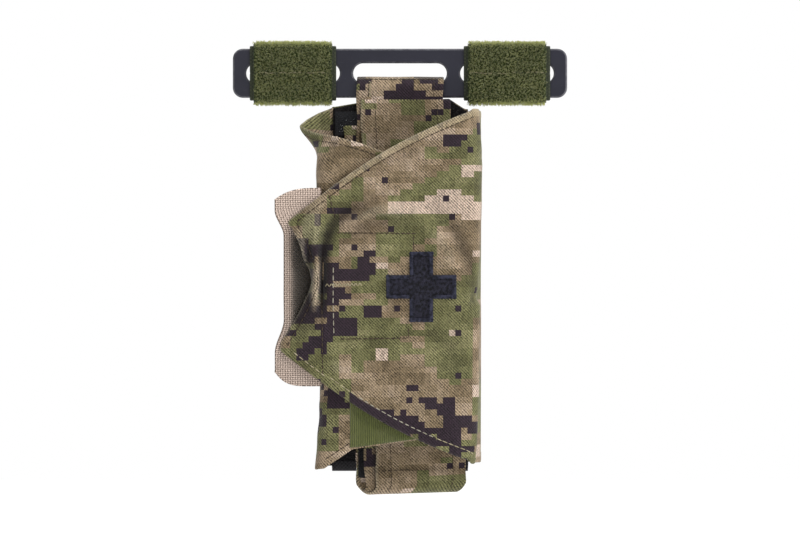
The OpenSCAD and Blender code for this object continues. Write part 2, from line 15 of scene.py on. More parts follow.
import bpy
import numpy as np
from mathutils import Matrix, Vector


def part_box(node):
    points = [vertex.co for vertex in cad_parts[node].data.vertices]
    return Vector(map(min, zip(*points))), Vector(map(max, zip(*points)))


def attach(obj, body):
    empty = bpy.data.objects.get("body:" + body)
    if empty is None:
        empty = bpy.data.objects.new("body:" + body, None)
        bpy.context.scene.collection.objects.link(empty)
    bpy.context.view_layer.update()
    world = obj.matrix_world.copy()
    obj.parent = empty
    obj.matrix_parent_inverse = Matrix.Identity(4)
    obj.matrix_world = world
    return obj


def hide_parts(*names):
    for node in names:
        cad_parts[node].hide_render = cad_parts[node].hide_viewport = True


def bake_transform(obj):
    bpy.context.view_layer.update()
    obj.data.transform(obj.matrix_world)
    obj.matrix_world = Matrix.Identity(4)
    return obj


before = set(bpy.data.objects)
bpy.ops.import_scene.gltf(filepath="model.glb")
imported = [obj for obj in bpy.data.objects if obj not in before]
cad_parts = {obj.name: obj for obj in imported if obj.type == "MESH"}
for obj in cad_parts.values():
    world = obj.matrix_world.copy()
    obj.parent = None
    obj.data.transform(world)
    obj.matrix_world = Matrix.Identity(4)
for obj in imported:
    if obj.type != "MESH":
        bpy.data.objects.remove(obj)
bpy.context.view_layer.update()
MM = 0.001

# %% [markdown]
# ## Reading places from the CAD
# Lengths below are millimetres. X runs to the right, Z up, and the depth is how far a point lies
# in front of the carrier that the bar is fixed to, so y = -depth. One helper reads a solid's
# box in those terms, and every piece takes its place from there. Another ties a finished piece to
# the one body that it moves with. A bend between two bodies is given as both bodies, a start and
# an end, and a piece given a bend is tied to neither body.


# %% A solid's box in millimetres, and tying a piece to the frame
def box(node):
    low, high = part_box(node)
    return SimpleNamespace(left=low.x / MM, right=high.x / MM, back=-high.y / MM,
                           front=-low.y / MM, bottom=low.z / MM, top=high.z / MM)


def dress(piece, body, slot, *nodes):
    """Says what a piece moves with and the CAD nodes that it stands for. The slot is not used."""
    if isinstance(body, str):
        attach(piece, body)
    else:
        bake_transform(piece)
    if nodes:
        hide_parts(*nodes)


def new_object(name, data):
    made = bpy.data.objects.new(name, data)
    bpy.context.scene.collection.objects.link(made)
    return made


bar, flap, root = box("hanger_bar"), box("outer_flap"), box("outer_flap_root")
inner, grab, panel = box("inner_flap"), box("grab_edge"), box("back_panel")
print("bar", round(bar.right - bar.left), "mm long; flap front at depth", round(flap.front, 2))

# %% [markdown]
# ## Camera and lamps
# The view is straight from the front and a little from below. A long lens keeps the verticals
# parallel. Six soft lamps and a pale world light the object at a plain level.

# %% Camera
VIEW_WIDTH, LENS, SENSOR = 357 * MM, 200, 36
middle = Vector((0, -16 * MM, -86.8 * MM))
distance = VIEW_WIDTH * LENS / SENSOR
tilt = math.radians(-0.5)
camera_data = bpy.data.cameras.new("camera")
camera_data.lens = LENS
camera_data.clip_start, camera_data.clip_end = 0.01, 20
camera = new_object("camera", camera_data)
camera.location = middle + distance * Vector((0, -math.cos(tilt), math.sin(tilt)))
camera.rotation_euler = (math.radians(90) - tilt, 0, 0)
bpy.context.scene.camera = camera
print("camera", round(distance, 3), "m away")

# %% Lamps: place and size in metres, power in watts
for name, place, size, power in (("key", (0.80, -0.80, 0.98), 0.5, 10.5),
                                 ("fill", (-0.75, -1.25, 0.25), 0.8, 3.2),
                                 ("side", (1.15, -0.22, 0.1), 0.6, 6),
                                 ("low", (0.0, -0.75, -0.36), 0.5, 1.5),
                                 ("top", (0.0, -0.15, 1.15), 0.6, 5),
                                 ("back", (0.2, 1.2, 0.5), 0.8, 9)):
    data = bpy.data.lights.new(name, "AREA")
    data.shape, data.size, data.energy = "DISK", size, power
    lamp = new_object(name, data)
    lamp.location = place
    lamp.rotation_euler = (middle - Vector(place)).to_track_quat("-Z", "Y").to_euler()
print(len(bpy.data.lights), "lamps")

# %% [markdown]
# ## Writing materials down
# Every finish is a small node tree. A recipe object keeps that short: its methods add nodes and
# hand back what comes out, and outputs can be added, multiplied and compared like numbers, so a
# finish reads from top to bottom like its description. Cloth patterns read the piece's own UV
# map, which holds the place on the flat cut in metres, so a weave keeps its true scale round
# every fold.


# %% The recipe helper
def colour(red, green, blue):
    """A colour as it looks on paper, 0 to 255, turned into the linear light that nodes use."""
    line = [c / 255 for c in (red, green, blue)]
    return [c / 12.92 if c <= 0.04045 else ((c + 0.055) / 1.055) ** 2.4 for c in line] + [1]


def add_node(tree, kind, settings=(), **inputs):
    """A new node in any tree. An input goes by its label, or by its number as i0, i1 and so on."""
    made = tree.nodes.new(kind)
    for key, value in dict(settings).items():
        setattr(made, key, value)
    for key, value in inputs.items():
        socket = made.inputs[int(key[1:]) if key[1:].isdigit() else key.replace("_", " ")]
        feed(tree, socket, value)
    return made


def feed(tree, socket, value):
    value = getattr(value, "socket", value)
    if isinstance(value, bpy.types.NodeSocket):
        tree.links.new(value, socket)
    else:
        socket.default_value = value


class Value:
    """A node's output, which can be added, multiplied and compared like a number."""

    def __init__(self, recipe, socket):
        self.recipe, self.socket = recipe, socket

    __add__ = lambda a, b: a.recipe.maths("ADD", a, b)
    __sub__ = lambda a, b: a.recipe.maths("SUBTRACT", a, b)
    __mul__ = lambda a, b: a.recipe.maths("MULTIPLY", a, b)
    __gt__ = lambda a, b: a.recipe.maths("GREATER_THAN", a, b)
    __lt__ = lambda a, b: a.recipe.maths("LESS_THAN", a, b)
    __abs__ = lambda a: a.recipe.maths("ABSOLUTE", a)


class Recipe:
    def __init__(self, name, roughness=0.8, specular=0.5, sheen=0.0):
        self.material = bpy.data.materials.new(name)
        self.material.use_nodes = True
        self.tree = self.material.node_tree
        self.shader = self.tree.nodes["Principled BSDF"]
        for socket, value in (("Roughness", roughness), ("Specular IOR Level", specular),
                              ("Sheen Weight", sheen)):
            self.shader.inputs[socket].default_value = value

    def node(self, kind, settings=(), output=0, **inputs):
        made = add_node(self.tree, "ShaderNode" + kind, settings, **inputs)
        return Value(self, made.outputs[output])

    def uv(self):
        return self.node("UVMap", {"uv_map": "cut"})

    def place(self):
        return self.node("TexCoord", output="Object")

    def attribute(self, name):
        return self.node("Attribute", {"attribute_name": name}, "Fac")

    def maths(self, operation, a, b=0.0):
        return self.node("Math", {"operation": operation}, i0=a, i1=b)

    def wave(self, value, rate):
        return self.maths("SINE", value * rate)

    def snap(self, vector, step):
        return self.node("VectorMath", {"operation": "SNAP"}, i0=vector, i1=step)

    def distance(self, a, b):
        return self.node("VectorMath", {"operation": "DISTANCE"}, 1, i0=a, i1=b)

    def split(self, vector):
        return [Value(self, socket) for socket
                in add_node(self.tree, "ShaderNodeSeparateXYZ", i0=vector).outputs]

    def mapping(self, vector, move=(0, 0, 0), turn=0.0, scale=(1, 1, 1)):
        return self.node("Mapping", i0=vector, i1=move, i2=(0, 0, math.radians(turn)), i3=scale)

    def noise(self, vector, scale, detail=2.0, roughness=0.5):
        return self.node("TexNoise", Vector=vector, Scale=scale, Detail=detail,
                         Roughness=roughness)

    def white(self, vector):
        return self.node("TexWhiteNoise", {"noise_dimensions": "2D"}, Vector=vector)

    def mix(self, share, a, b, blend="MIX"):
        return self.node("Mix", {"data_type": "RGBA", "blend_type": blend}, 2,
                         i0=share, i6=a, i7=b)

    def ramp(self, value, stops):
        made = add_node(self.tree, "ShaderNodeValToRGB", Fac=value)
        band = made.color_ramp
        while len(band.elements) < len(stops):
            band.elements.new(0.5)
        for element, (at, shade) in zip(band.elements, stops):
            element.position, element.color = at, shade
        return Value(self, made.outputs[0])

    def spread(self, value, low, high, to_low=0.0, to_high=1.0):
        return self.node("MapRange", i0=value, i1=low, i2=high, i3=to_low, i4=to_high)

    def bump(self, height, depth):
        return self.node("Bump", Height=height, Distance=depth)

    def done(self, **inputs):
        for key, value in inputs.items():
            feed(self.tree, self.shader.inputs[key.replace("_", " ")], value)
        return self.material


print("recipe helper ready")

# %% [markdown]
# ## World and floor
# The floor and the world are white to the camera's own rays and to those that leave a shiny or a
# clear surface. Soft light meets a plain floor and a dimmer world instead, so the background
# doesn't wash the object out. The floor is clear from below.

# %% World and floor
scene = bpy.context.scene
scene.view_settings.view_transform = "Standard"
WHITE, WORLD_LIGHT, FLOOR_LIGHT = (1, 1, 1, 1), 0.33, 0.8


def seen_directly(tree):
    """1 for the camera's own rays and for those that leave a shiny or a clear surface."""
    path = add_node(tree, "ShaderNodeLightPath").outputs
    total = path["Is Camera Ray"]
    for name in ("Is Glossy Ray", "Is Transmission Ray"):
        total = add_node(tree, "ShaderNodeMath", {"operation": "MAXIMUM"}, i0=total,
                         i1=path[name]).outputs[0]
    return total


world = bpy.data.worlds.new("studio")
scene.world = world
world.use_nodes = True
tree = world.node_tree
tree.nodes.clear()
lit = add_node(tree, "ShaderNodeBackground", Color=WHITE, Strength=WORLD_LIGHT)
shown = add_node(tree, "ShaderNodeBackground", Color=WHITE, Strength=1)
choose = add_node(tree, "ShaderNodeMixShader", i0=seen_directly(tree), i1=lit.outputs[0],
                  i2=shown.outputs[0])
add_node(tree, "ShaderNodeOutputWorld", Surface=choose.outputs[0])

FLOOR, REACH = -0.42, 6
floor_mesh = bpy.data.meshes.new("floor")
floor_mesh.from_pydata([(-REACH, -REACH, FLOOR), (REACH, -REACH, FLOOR),
                        (REACH, REACH, FLOOR), (-REACH, REACH, FLOOR)], [], [(0, 1, 2, 3)])
floor = new_object("floor", floor_mesh)
pale = Recipe("pale_floor", roughness=0.9)
floor_mesh.materials.append(pale.done(Base_Color=(0.8, 0.8, 0.8, 1)))
tree = pale.tree
level = add_node(tree, "ShaderNodeMath", {"operation": "MULTIPLY"}, i0=seen_directly(tree),
                 i1=FLOOR_LIGHT)
glow = add_node(tree, "ShaderNodeEmission", Color=WHITE, Strength=level.outputs[0])
both = add_node(tree, "ShaderNodeAddShader", i0=pale.shader.outputs[0], i1=glow.outputs[0])
clear = add_node(tree, "ShaderNodeBsdfTransparent")
open_below = add_node(tree, "ShaderNodeMixShader", i1=both.outputs[0], i2=clear.outputs[0],
                      i0=add_node(tree, "ShaderNodeNewGeometry").outputs["Backfacing"])
tree.links.new(open_below.outputs[0], tree.nodes["Material Output"].inputs["Surface"])
print("floor at", FLOOR, "m")

# %% [markdown]
# ## Camouflage cloth
# The cloth is a printed nylon twill. The print has square cells a few millimetres wide: soft
# blotches of khaki, olive and green lie under crisp dark brown and pale sand clusters that run
# mostly sideways, with single cells strewn between them. It is a pattern of its own: noise is
# read at coordinates that are rounded down to the cell grid, which turns smooth blobs into
# stepped ones, and a threshold decides how much of the cloth each colour takes. Clusters can be
# drawn together at a few places on the cut.

# %% Camouflage cloth
CELL, WEAVE, CONTRAST = 2.7 * MM, 0.99 * MM, 0.78
SAND, DARK = colour(178, 159, 143), colour(38, 27, 35)
TONES = [(0.36, colour(98, 84, 63)), (0.44, colour(116, 100, 77)), (0.51, colour(131, 114, 91)),
         (0.58, colour(144, 126, 104)), (0.66, colour(157, 139, 119))]
GREENS = [(0.36, colour(82, 80, 50)), (0.46, colour(97, 96, 62)), (0.56, colour(109, 107, 72)),
          (0.66, colour(122, 118, 83))]


def printed(recipe, uv, move, shares, clusters=()):
    """The print's colour at a place on the cut. shares: thresholds for green, pale and dark.
    clusters: places in millimetres, reach and strength, where dark cells gather, or, below 0,
    pale ones."""
    def blobs(places, move, squeeze, scale, detail, roughness=0.5):
        moved = recipe.mapping(places, move, scale=(squeeze, 1, 1))
        return recipe.noise(moved, scale, detail, roughness)

    cut = recipe.mapping(uv, move)
    cell = recipe.snap(cut, (CELL, CELL, 1))
    block = recipe.snap(recipe.mapping(cut, (CELL, 0, 0)), (2 * CELL, CELL, 1))
    gather = 0.0
    for x, z, reach, strength in clusters:
        gap = recipe.distance(cell, (x * MM + move[0], z * MM + move[1], 0))
        gather = recipe.spread(gap, 0, reach * MM, strength, 0) + gather
    tone = blobs(cell, (0, 0, 0), 0.6, 95, 3, 0.6)
    hue = blobs(block, (0.7, 0.2, 0), 0.8, 36, 2, 0.55)
    base = recipe.mix(hue > shares[0], recipe.ramp(tone, TONES), recipe.ramp(tone, GREENS))
    band = blobs(block, (0.11, 0.53, 0), 0.7, 21, 0)
    patch = blobs(block, (0.9, 0.4, 0), 0.5, 74, 1, 0.35)
    base = recipe.mix(patch - band * 0.35 - gather > shares[1], base, SAND)
    blot = blobs(cell, (0.4, 0.8, 0), 0.6, 118, 1)
    strewn = recipe.white(recipe.mapping(cell, (0.5, 0.1, 0))) > 0.985
    dark = recipe.maths("MAXIMUM", blot + band * 0.55 + gather > shares[2], strewn)
    return recipe.mix(dark, base, DARK)


def woven(recipe, uv, pitch):
    """Height of a fine twill at 45 degrees, whose slant falls to the right. Every crossing of
    two threads also stands a little higher or lower than its neighbours."""
    turned = recipe.mapping(uv, turn=45)
    first, second = (recipe.wave(axis, 2 * math.pi / pitch) for axis in recipe.split(turned)[:2])
    crossing = recipe.white(recipe.snap(turned, (pitch / 2, pitch / 2, 1)))
    return first * 0.2 + second * 0.75 + (crossing * 1.1 - 0.55)


def camouflage(name, move=(0, 0, 0), trims=(), shares=(0.53, 0.50, 0.91), clusters=()):
    recipe = Recipe(name, roughness=0.85, specular=0.25, sheen=0.12)
    uv = recipe.uv()
    shade = printed(recipe, uv, move, shares, clusters)
    for attribute, tone in trims:
        shade = recipe.mix(recipe.attribute(attribute), shade, tone)
    # Painted shade: the deep mark darkens the print in the hollows of folds and beside the edge of
    # a strap that lies over this one.
    shade = recipe.mix(recipe.attribute("deep") * 0.85, shade, colour(26, 20, 20))
    uneven = recipe.spread(recipe.noise(uv, 210, 2), 0.3, 0.7, 0.45, 1.25)
    weave = woven(recipe, uv, WEAVE) * uneven
    slubs = recipe.noise(recipe.mapping(uv, scale=(1, 0.12, 1)), 900, 1)
    light = recipe.spread(weave, -1, 1, 1.04 - CONTRAST, 1.04 + CONTRAST)
    light = light + recipe.spread(slubs, 0.3, 0.7, -0.12, 0.12)
    light = light + recipe.spread(recipe.noise(uv, 140, 3), 0.3, 0.7, -0.09, 0.09)
    # Paler where this mark is set: worn edges, and a painted highlight on raised folds and on strap
    # edges that lie over others.
    shade = recipe.mix(recipe.attribute("worn_and_painted_highlight") * 0.35, shade, colour(172, 162, 140))
    grey = recipe.node("CombineXYZ", i0=light, i1=light, i2=light)
    shade = recipe.mix(1.0, shade, grey, "MULTIPLY")
    return recipe.done(Base_Color=shade, Normal=recipe.bump(weave + slubs * 1.5, 0.09 * MM))


# The outer cloth's trims: a pale top hem, a dark lower hem, and a painted highlight on the leaf
# ridge of the grab edge.
CAMO_OUTER = camouflage("camouflage_cloth_outer", (-0.019, -0.290, 0),
                        [("hem", colour(166, 152, 124)), ("dark_hem", DARK),
                         ("leaf", colour(150, 134, 112))], (0.515, 0.545, 0.92),
                        [(-40, -112, 28, 0.17), (-20, -92, 14, 0.03), (24, -162, 24, 0.09),
                         (0, -150, 14, 0.12), (28, -54, 28, -0.10), (2, -60, 20, -0.05)])
CAMO_INNER = camouflage("camouflage_cloth_inner", (0.37, 0.22, 0), (),
                        (0.53, 0.50, 0.905), [(-33, -152, 14, 0.05)])
CAMO_BACK = camouflage("camouflage_cloth_back", (0.81, 0.47, 0))
CAMO_STRAP = camouflage("camouflage_webbing", (0.55, 0.93, 0), (), (0.50, 0.57, 1.03))
CAMO_HANGER = camouflage("camouflage_hanger", (0.145, 0.66, 0), (), (0.55, 0.455, 0.85))
print("print cell", CELL / MM, "mm")

# %% [markdown]
# ## Building sheets
# Cloth has two faces and a rounded edge. A sheet here starts as a grid of points on its outer
# face, with each point's place on the flat cut. The helper finds the direction square to the
# face, drops the inner face one thickness behind it, and closes the rim with a soft half round.
# Writing the grid directly keeps the folds where they belong, and every point knows its place on
# the cut.


# %% Mesh helpers
def mesh_piece(name, points, faces, materials, cut=None, marks=None, finish=None):
    """An object from millimetre points. marks are named values per point."""
    mesh = bpy.data.meshes.new(name)
    mesh.from_pydata((np.asarray(points, float) * MM).tolist(), [],
                     [tuple(int(v) for v in f) for f in faces])
    if cut is not None:
        corners = np.zeros(len(mesh.loops), np.int32)
        mesh.loops.foreach_get("vertex_index", corners)
        layer = mesh.uv_layers.new(name="cut")
        layer.data.foreach_set("uv", (np.asarray(cut, float) * MM)[corners].ravel())
    for key, values in (marks or {}).items():
        mesh.attributes.new(key, "FLOAT", "POINT").data.foreach_set(
            "value", np.asarray(values, np.float32).ravel())
    for material in materials:
        mesh.materials.append(material)
    if finish is not None:
        mesh.polygons.foreach_set("material_index", np.asarray(finish, np.int32))
    mesh.polygons.foreach_set("use_smooth", np.ones(len(mesh.polygons), bool))
    mesh.update()
    return new_object(name, mesh)


def unit(v):
    return v / np.maximum(np.linalg.norm(v, axis=-1, keepdims=True), 1e-9)


def facing(grid):
    """Directions along, down and square to a grid of points."""
    along, down = unit(np.gradient(grid, axis=0)), unit(np.gradient(grid, axis=1))
    return along, down, unit(np.cross(down, along))


RIM_DROPS, RIM_PROUD = (0.22, 0.78), 0.33


def sheet_mesh(name, grid, cut, thickness, materials, marks=None, inside=None):
    """A closed sheet: grid is its outer face, columns first, and rows run down."""
    n, m = grid.shape[:2]
    along, down, out = facing(grid)
    flat = lambda a: a.reshape(n * m, -1)
    ids = np.arange(n * m).reshape(n, m)
    a, b, c, d = ids[:-1, :-1], ids[:-1, 1:], ids[1:, 1:], ids[1:, :-1]
    outer = np.stack([a, b, c, d], -1).reshape(-1, 4)
    inner_faces = np.stack([a, d, c, b], -1).reshape(-1, 4) + n * m
    rim = np.concatenate([ids[0, :-1], ids[:-1, -1], ids[-1, :0:-1], ids[:0:-1, 0]])
    away = np.zeros((n, m, 3))
    away[0] -= along[0]
    away[-1] += along[-1]
    away[:, 0] -= down[:, 0]
    away[:, -1] += down[:, -1]
    edge, square, proud = flat(grid)[rim], flat(out)[rim], unit(flat(away)[rim])
    rings = [edge - square * thickness * drop + proud * thickness * RIM_PROUD
             for drop in RIM_DROPS]
    points = np.concatenate([flat(grid), flat(grid - out * thickness)] + rings)
    k, base = len(rim), 2 * n * m
    order = [rim, base + np.arange(k), base + k + np.arange(k), rim + n * m]
    sides = [np.stack([np.roll(p, -1), p, q, np.roll(q, -1)], -1)
             for p, q in zip(order[:-1], order[1:])]
    faces = np.concatenate([outer, inner_faces] + sides)
    spread = lambda a: np.concatenate([flat(a), flat(a), flat(a)[rim], flat(a)[rim]])
    marks = {key: spread(np.broadcast_to(v, (n, m))) for key, v in (marks or {}).items()}
    finish = np.zeros(len(faces), int)
    if inside is not None:
        which = np.asarray(inside)[:-1, :-1].reshape(-1) if np.ndim(inside) else inside
        finish[len(outer):2 * len(outer)] = which
    return mesh_piece(name, points, faces, materials, spread(cut), marks, finish)


def smooth(t):
    t = np.clip(t, 0, 1)
    return t * t * (3 - 2 * t)


def fold(x, z, path, height, width):
    """How far a fold that runs along path stands out at each place."""
    path = np.array(path, float)
    steps = np.diff(path, axis=0)
    runs = np.hypot(*steps.T)
    starts = np.concatenate([[0], np.cumsum(runs)])
    near, where = np.full(np.shape(x), 1e9), np.zeros(np.shape(x))
    for p, v, run, start in zip(path, steps, runs, starts):
        t = np.clip(((x - p[0]) * v[0] + (z - p[1]) * v[1]) / run ** 2, 0, 1)
        gap = np.hypot(x - p[0] - t * v[0], z - p[1] - t * v[1])
        where = np.where(gap < near, (start + t * run) / starts[-1], where)
        near = np.minimum(gap, near)
    fade = np.sin(np.pi * np.clip(where, 0.04, 0.96)) ** 0.6
    return height * fade * np.exp(-0.5 * (near / width) ** 2)


def ripple(x, z, size, seed):
    """Gentle unevenness, about as wide as size, mostly between -1 and 1."""
    draw = np.random.default_rng(seed)
    total = np.zeros(np.shape(x))
    for _ in range(7):
        turn, phase = draw.uniform(0, 2 * math.pi, 2)
        wave = 2 * math.pi / (size * draw.uniform(0.8, 1.9))
        total = total + np.sin(wave * (x * math.cos(turn) + z * math.sin(turn)) + phase)
    return total / 4


def rows_between(height, fine, step):
    """Row fractions from a top to a bottom line, closer together near both."""
    start = np.array(fine) / height
    inner_rows = np.linspace(start[-1], 1 - start[-1], max(3, int(height / step)))
    return np.concatenate([start, inner_rows[1:-1], (1 - start)[::-1]])


print("sheet helpers ready")

# %% [markdown]
# ## Where the wrap lies
# Seen from above, both flaps follow a rounded rectangle: flat front, round corner, side, round
# corner, back. One function turns a distance along the cloth, counted from the pouch's middle,
# into a place on that line, so the cloth's cut and its shape always agree.

# %% The wrap's line, seen from above
HALF = root.right
CORNER = HALF - panel.right
FLAT = HALF - CORNER
QUARTER = CORNER * math.pi / 2
CLOTH = grab.front - grab.back


def wall_line(s, front, back):
    """Across and depth of the cloth at distance s from the middle, and the way it faces."""
    run = front - back - 2 * CORNER
    first = np.clip((s - FLAT) / CORNER, 0, math.pi / 2)
    second = np.clip((s - FLAT - QUARTER - run) / CORNER, 0, math.pi / 2)
    across = (np.minimum(s, FLAT) + CORNER * np.sin(first) - CORNER * (1 - np.cos(second))
              - np.maximum(s - FLAT - 2 * QUARTER - run, 0))
    depth = (front - CORNER * (1 - np.cos(first)) - np.clip(s - FLAT - QUARTER, 0, run)
             - CORNER * np.sin(second))
    return across, depth, np.sin(first + second), np.cos(first + second)


def to_space(across, depth, z):
    return np.stack([across, -np.asarray(depth, float), z], -1)


OUTER_END = FLAT + 2 * QUARTER + flap.front - panel.back - 2 * CORNER
INNER_END = FLAT + 2 * QUARTER + inner.front - panel.back - 2 * CORNER
print("half width", HALF, "corner", round(CORNER, 2), "cloth", round(CLOTH, 2),
      "outer cut from the middle", round(OUTER_END, 1), "mm")

# %% [markdown]
# ## The outer flap's cut and its folds
# The flap is cut from one piece: its top edge falls to the left in a slight arch, and its bottom
# edge falls to the right. Both lines are set to follow the CAD's hems, and the first cell prints
# how far the hems leave them. The folds are listed one by one, as a maker would describe them:
# where each runs, how high it stands and how wide it is. They come from how this flap is sewn and
# packed, and a list says that outright, so no simulation is run.

# %% Top and bottom lines
def hem_line(x, start, end, bulge):
    t = (np.clip(x, min(start[0], end[0]), max(start[0], end[0])) - start[0]) / (end[0] - start[0])
    return start[1] + (end[1] - start[1]) * t + bulge * np.sin(math.pi * t)


TOP_BULGE, LOW_BULGE = 5.3, -5.6
TOP_RIGHT, TOP_LEFT = (HALF - 2.7, root.top), (-HALF - 13, -67.0)
LOW_LEFT, LOW_RIGHT = (-HALF - 16.5, -124.0), (HALF - 2.1, root.bottom)


def outer_top(x):
    return hem_line(x, TOP_RIGHT, TOP_LEFT, TOP_BULGE)


def outer_bottom(x):
    return hem_line(x, LOW_LEFT, LOW_RIGHT, LOW_BULGE)


hem = np.array([v.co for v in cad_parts["outer_flap_top_hem"].data.vertices]) / MM
over = (hem[:, 2] - outer_top(hem[:, 0])).max()
hem = np.array([v.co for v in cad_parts["outer_flap_bottom_hem"].data.vertices]) / MM
under = (outer_bottom(hem[:, 0]) - hem[:, 2]).max()
print("the CAD hems leave the lines by", round(float(over), 2), round(float(under), 2), "mm")

# %% Folds in the outer flap: path, height and width
LEAF = ([(-36.3, -83), (-37.0, -94), (-38.0, -106)], 3.8, 1.35)
OUTER_FOLDS = [
    ([(-12, -58.5), (-22.3, -62.5), (-28.6, -67), (-32, -73), (-33.3, -83), (-33.6, -93),
      (-34.5, -103)], -2.6, 1.9),
    ([(-30, -54.5), (-38, -62.5), (-42, -72), (-42.5, -80)], 1.7, 3.2),
    LEAF,
    ([(-39.9, -76), (-40.6, -90), (-40.2, -106)], -2.9, 1.2),
    ([(-44.5, -72), (-43.5, -84), (-42.0, -92)], 1.4, 1.5),
    ([(-42.5, -96), (-44.0, -106), (-47.0, -116)], -2.2, 2.4),
    ([(-34.3, -78), (-34.5, -94), (-34.9, -107)], -2.6, 1.0),
    ([(-31.6, -76), (-31.6, -90), (-31.8, -104)], 1.3, 1.4),
    ([(-37, -66), (-37.5, -73), (-38.5, -80)], 1.6, 1.7),
    ([(-29, -72), (-22, -66.5), (-10, -62.5), (6, -62.5)], 1.6, 2.4),
    ([(-27, -77), (-19, -70.8), (-8, -67.5), (5, -68)], -1.2, 2.0),
    ([(-20, -57), (-6, -53), (8, -52)], 0.7, 3.5),
    ([(15, -62), (24, -71), (30.5, -84), (34, -99)], -1.5, 2.3),
    ([(10, -67), (20, -76), (28, -92)], 0.9, 3.6),
    ([(34.5, -88), (33, -93), (30, -98)], 0.8, 1.6),
    ([(31, -104), (35, -100.8), (38, -100.5)], -1.2, 1.6),
    ([(-3, -130.5), (14, -131.2), (31, -130.4)], -0.45, 0.9),
    ([(-30, -119.6), (-10, -119.2), (4, -119.4)], -0.5, 1.3),
    ([(30.2, -120.5), (30.9, -130)], 0.8, 0.9),
    ([(29, -70), (38, -70.3)], -0.5, 0.7),
    ([(12, -112), (22, -121), (27, -138)], -0.7, 3.0),
    ([(-34, -112), (-30, -128), (-22, -141)], 0.9, 3.0),
    ([(-45, -118), (-39, -112), (-36, -106)], -1.1, 2.2),
    ([(-48, -74), (-45.5, -84), (-44.8, -96)], 0.7, 1.4),
    ([(0, -146), (16, -152), (30, -156)], 0.6, 3.0),
    ([(20, -34), (29, -45), (34, -60)], 0.6, 3.0),
    ([(-12, -44), (2, -38), (18, -33)], -0.5, 2.2),
    ([(37, -30), (44, -60), (43, -100)], -0.9, 3.0),
    ([(40, -110), (45, -140), (42, -165)], -0.8, 3.0),
]
FOLD_LIFT = 1.35
SIDE_CONTOUR = np.array([(-17, -1.6), (-24, -1.2), (-33, -0.4), (-42, 0.1), (-60, -0.1),
                         (-78, -0.7), (-88, -1.4), (-96, -1.9), (-100.9, -2.7), (-104, -1.0),
                         (-112, -0.8), (-130, -1.1), (-150, -1.6), (-166, -2.4), (-174, -3.4)])


def outer_relief(s, z):
    """How far the outer flap stands in front of its flat line."""
    total = 0.45 + 0.45 * ripple(s, z, 16, 4) + 0.2 * ripple(s, z, 6.5, 9)
    for path, height, width in OUTER_FOLDS:
        total = total + FOLD_LIFT * fold(s, z, path, height, width)
    total = total + 0.9 * np.exp(-(((s - 4) / 22) ** 2 + ((z + 96) / 40) ** 2))
    contour = np.interp(-z, -SIDE_CONTOUR[:, 0], SIDE_CONTOUR[:, 1])
    side = smooth((s - 23) / 11) * (1 - smooth((s - 52) / 10))
    back = smooth((s - 46) / 14)
    return total * (1 - side * 0.6) * (1 - back) + contour * side


def raised_hem(gap, width, height=0.55):
    """A turned hem: a step one cloth high, a little round at its very edge."""
    step = smooth((width + 0.25 - gap) / 0.5)
    roll = np.exp(-(np.maximum(gap, 0) / 0.45) ** 2)
    return height * (step - 0.75 * roll)


print(len(OUTER_FOLDS), "folds in the outer flap")

# %% [markdown]
# ## The outer flap
# On the real pouch this is the cover: it comes round the right side from the back and crosses
# the front. It is one mesh from the back corner to just short of the grab edge. As the flap
# opens, the cloth bends at the middle of the side wall, and the mesh is not cut in two there.


# %% Outer flap mesh
HEM, LOW_HEM, HEM_SLOPE = 2.4, 3.6, 0.6
SPLIT = -34.0
FINE = (0, 0.3, 0.7, 1.2, 1.8, 2.25, 2.6, 3.0, 3.5, 3.9, 4.4)


def outer_point(s, z):
    """The outer flap's outer face at a place on its cut."""
    across, depth, sideways, forward = wall_line(s, flap.front, panel.back)
    relief = outer_relief(s, z)
    x = np.minimum(s, HALF)
    level = math.cos(math.atan(HEM_SLOPE))
    top_gap = (outer_top(x) - z) * level
    low_gap = (z - outer_bottom(x)) * level
    turned_in = 1 - 0.75 * smooth((s - 29) / 5)
    relief = relief + (raised_hem(top_gap, HEM) + raised_hem(low_gap, LOW_HEM)) * turned_in
    return to_space(across + sideways * relief, depth + forward * relief, z)


def outer_marks(s, z):
    """Where the outer flap is hemmed and worn, where its ridges and leaf get a painted highlight,
    and where its folds get painted shade.
    """
    x = np.minimum(s, HALF)
    top_gap, low_gap = (outer_top(x) - z) * 0.86, (z - outer_bottom(x)) * 0.86
    pale_hem = 0.5 * smooth((HEM + 0.3 - top_gap) / 0.3) * smooth((s + 27) / 3)
    dark_hem = (smooth((LOW_HEM + 0.2 - low_gap) / 0.3) * smooth((s + 22.5) / 0.4)
                * smooth((16 - s) / 0.4) * (1 - (np.abs(s - 6.5) < 1.6)))
    worn_and_painted_highlight = np.exp(-(top_gap / 0.5) ** 2) * 0.8 + np.exp(-(low_gap / 0.5) ** 2) * 0.1
    # Painted highlight on the raised folds.
    worn_and_painted_highlight = worn_and_painted_highlight + np.clip(outer_relief(s, z) - 1.5, 0, 1) * 0.6
    # Painted shade in the hollows of the folds.
    hollow = sum(np.minimum(fold(s, z, *row), 0) for row in OUTER_FOLDS) / -2.6
    # Painted highlight along the leaf ridge.
    leaf = np.clip(fold(s, z, LEAF[0], 1.5, LEAF[2]) - 0.2, 0, 1)
    return {"hem": pale_hem, "dark_hem": dark_hem, "worn_and_painted_highlight": worn_and_painted_highlight, "leaf": leaf,
            "deep": np.clip(hollow, 0, 1) * (1 - leaf)}


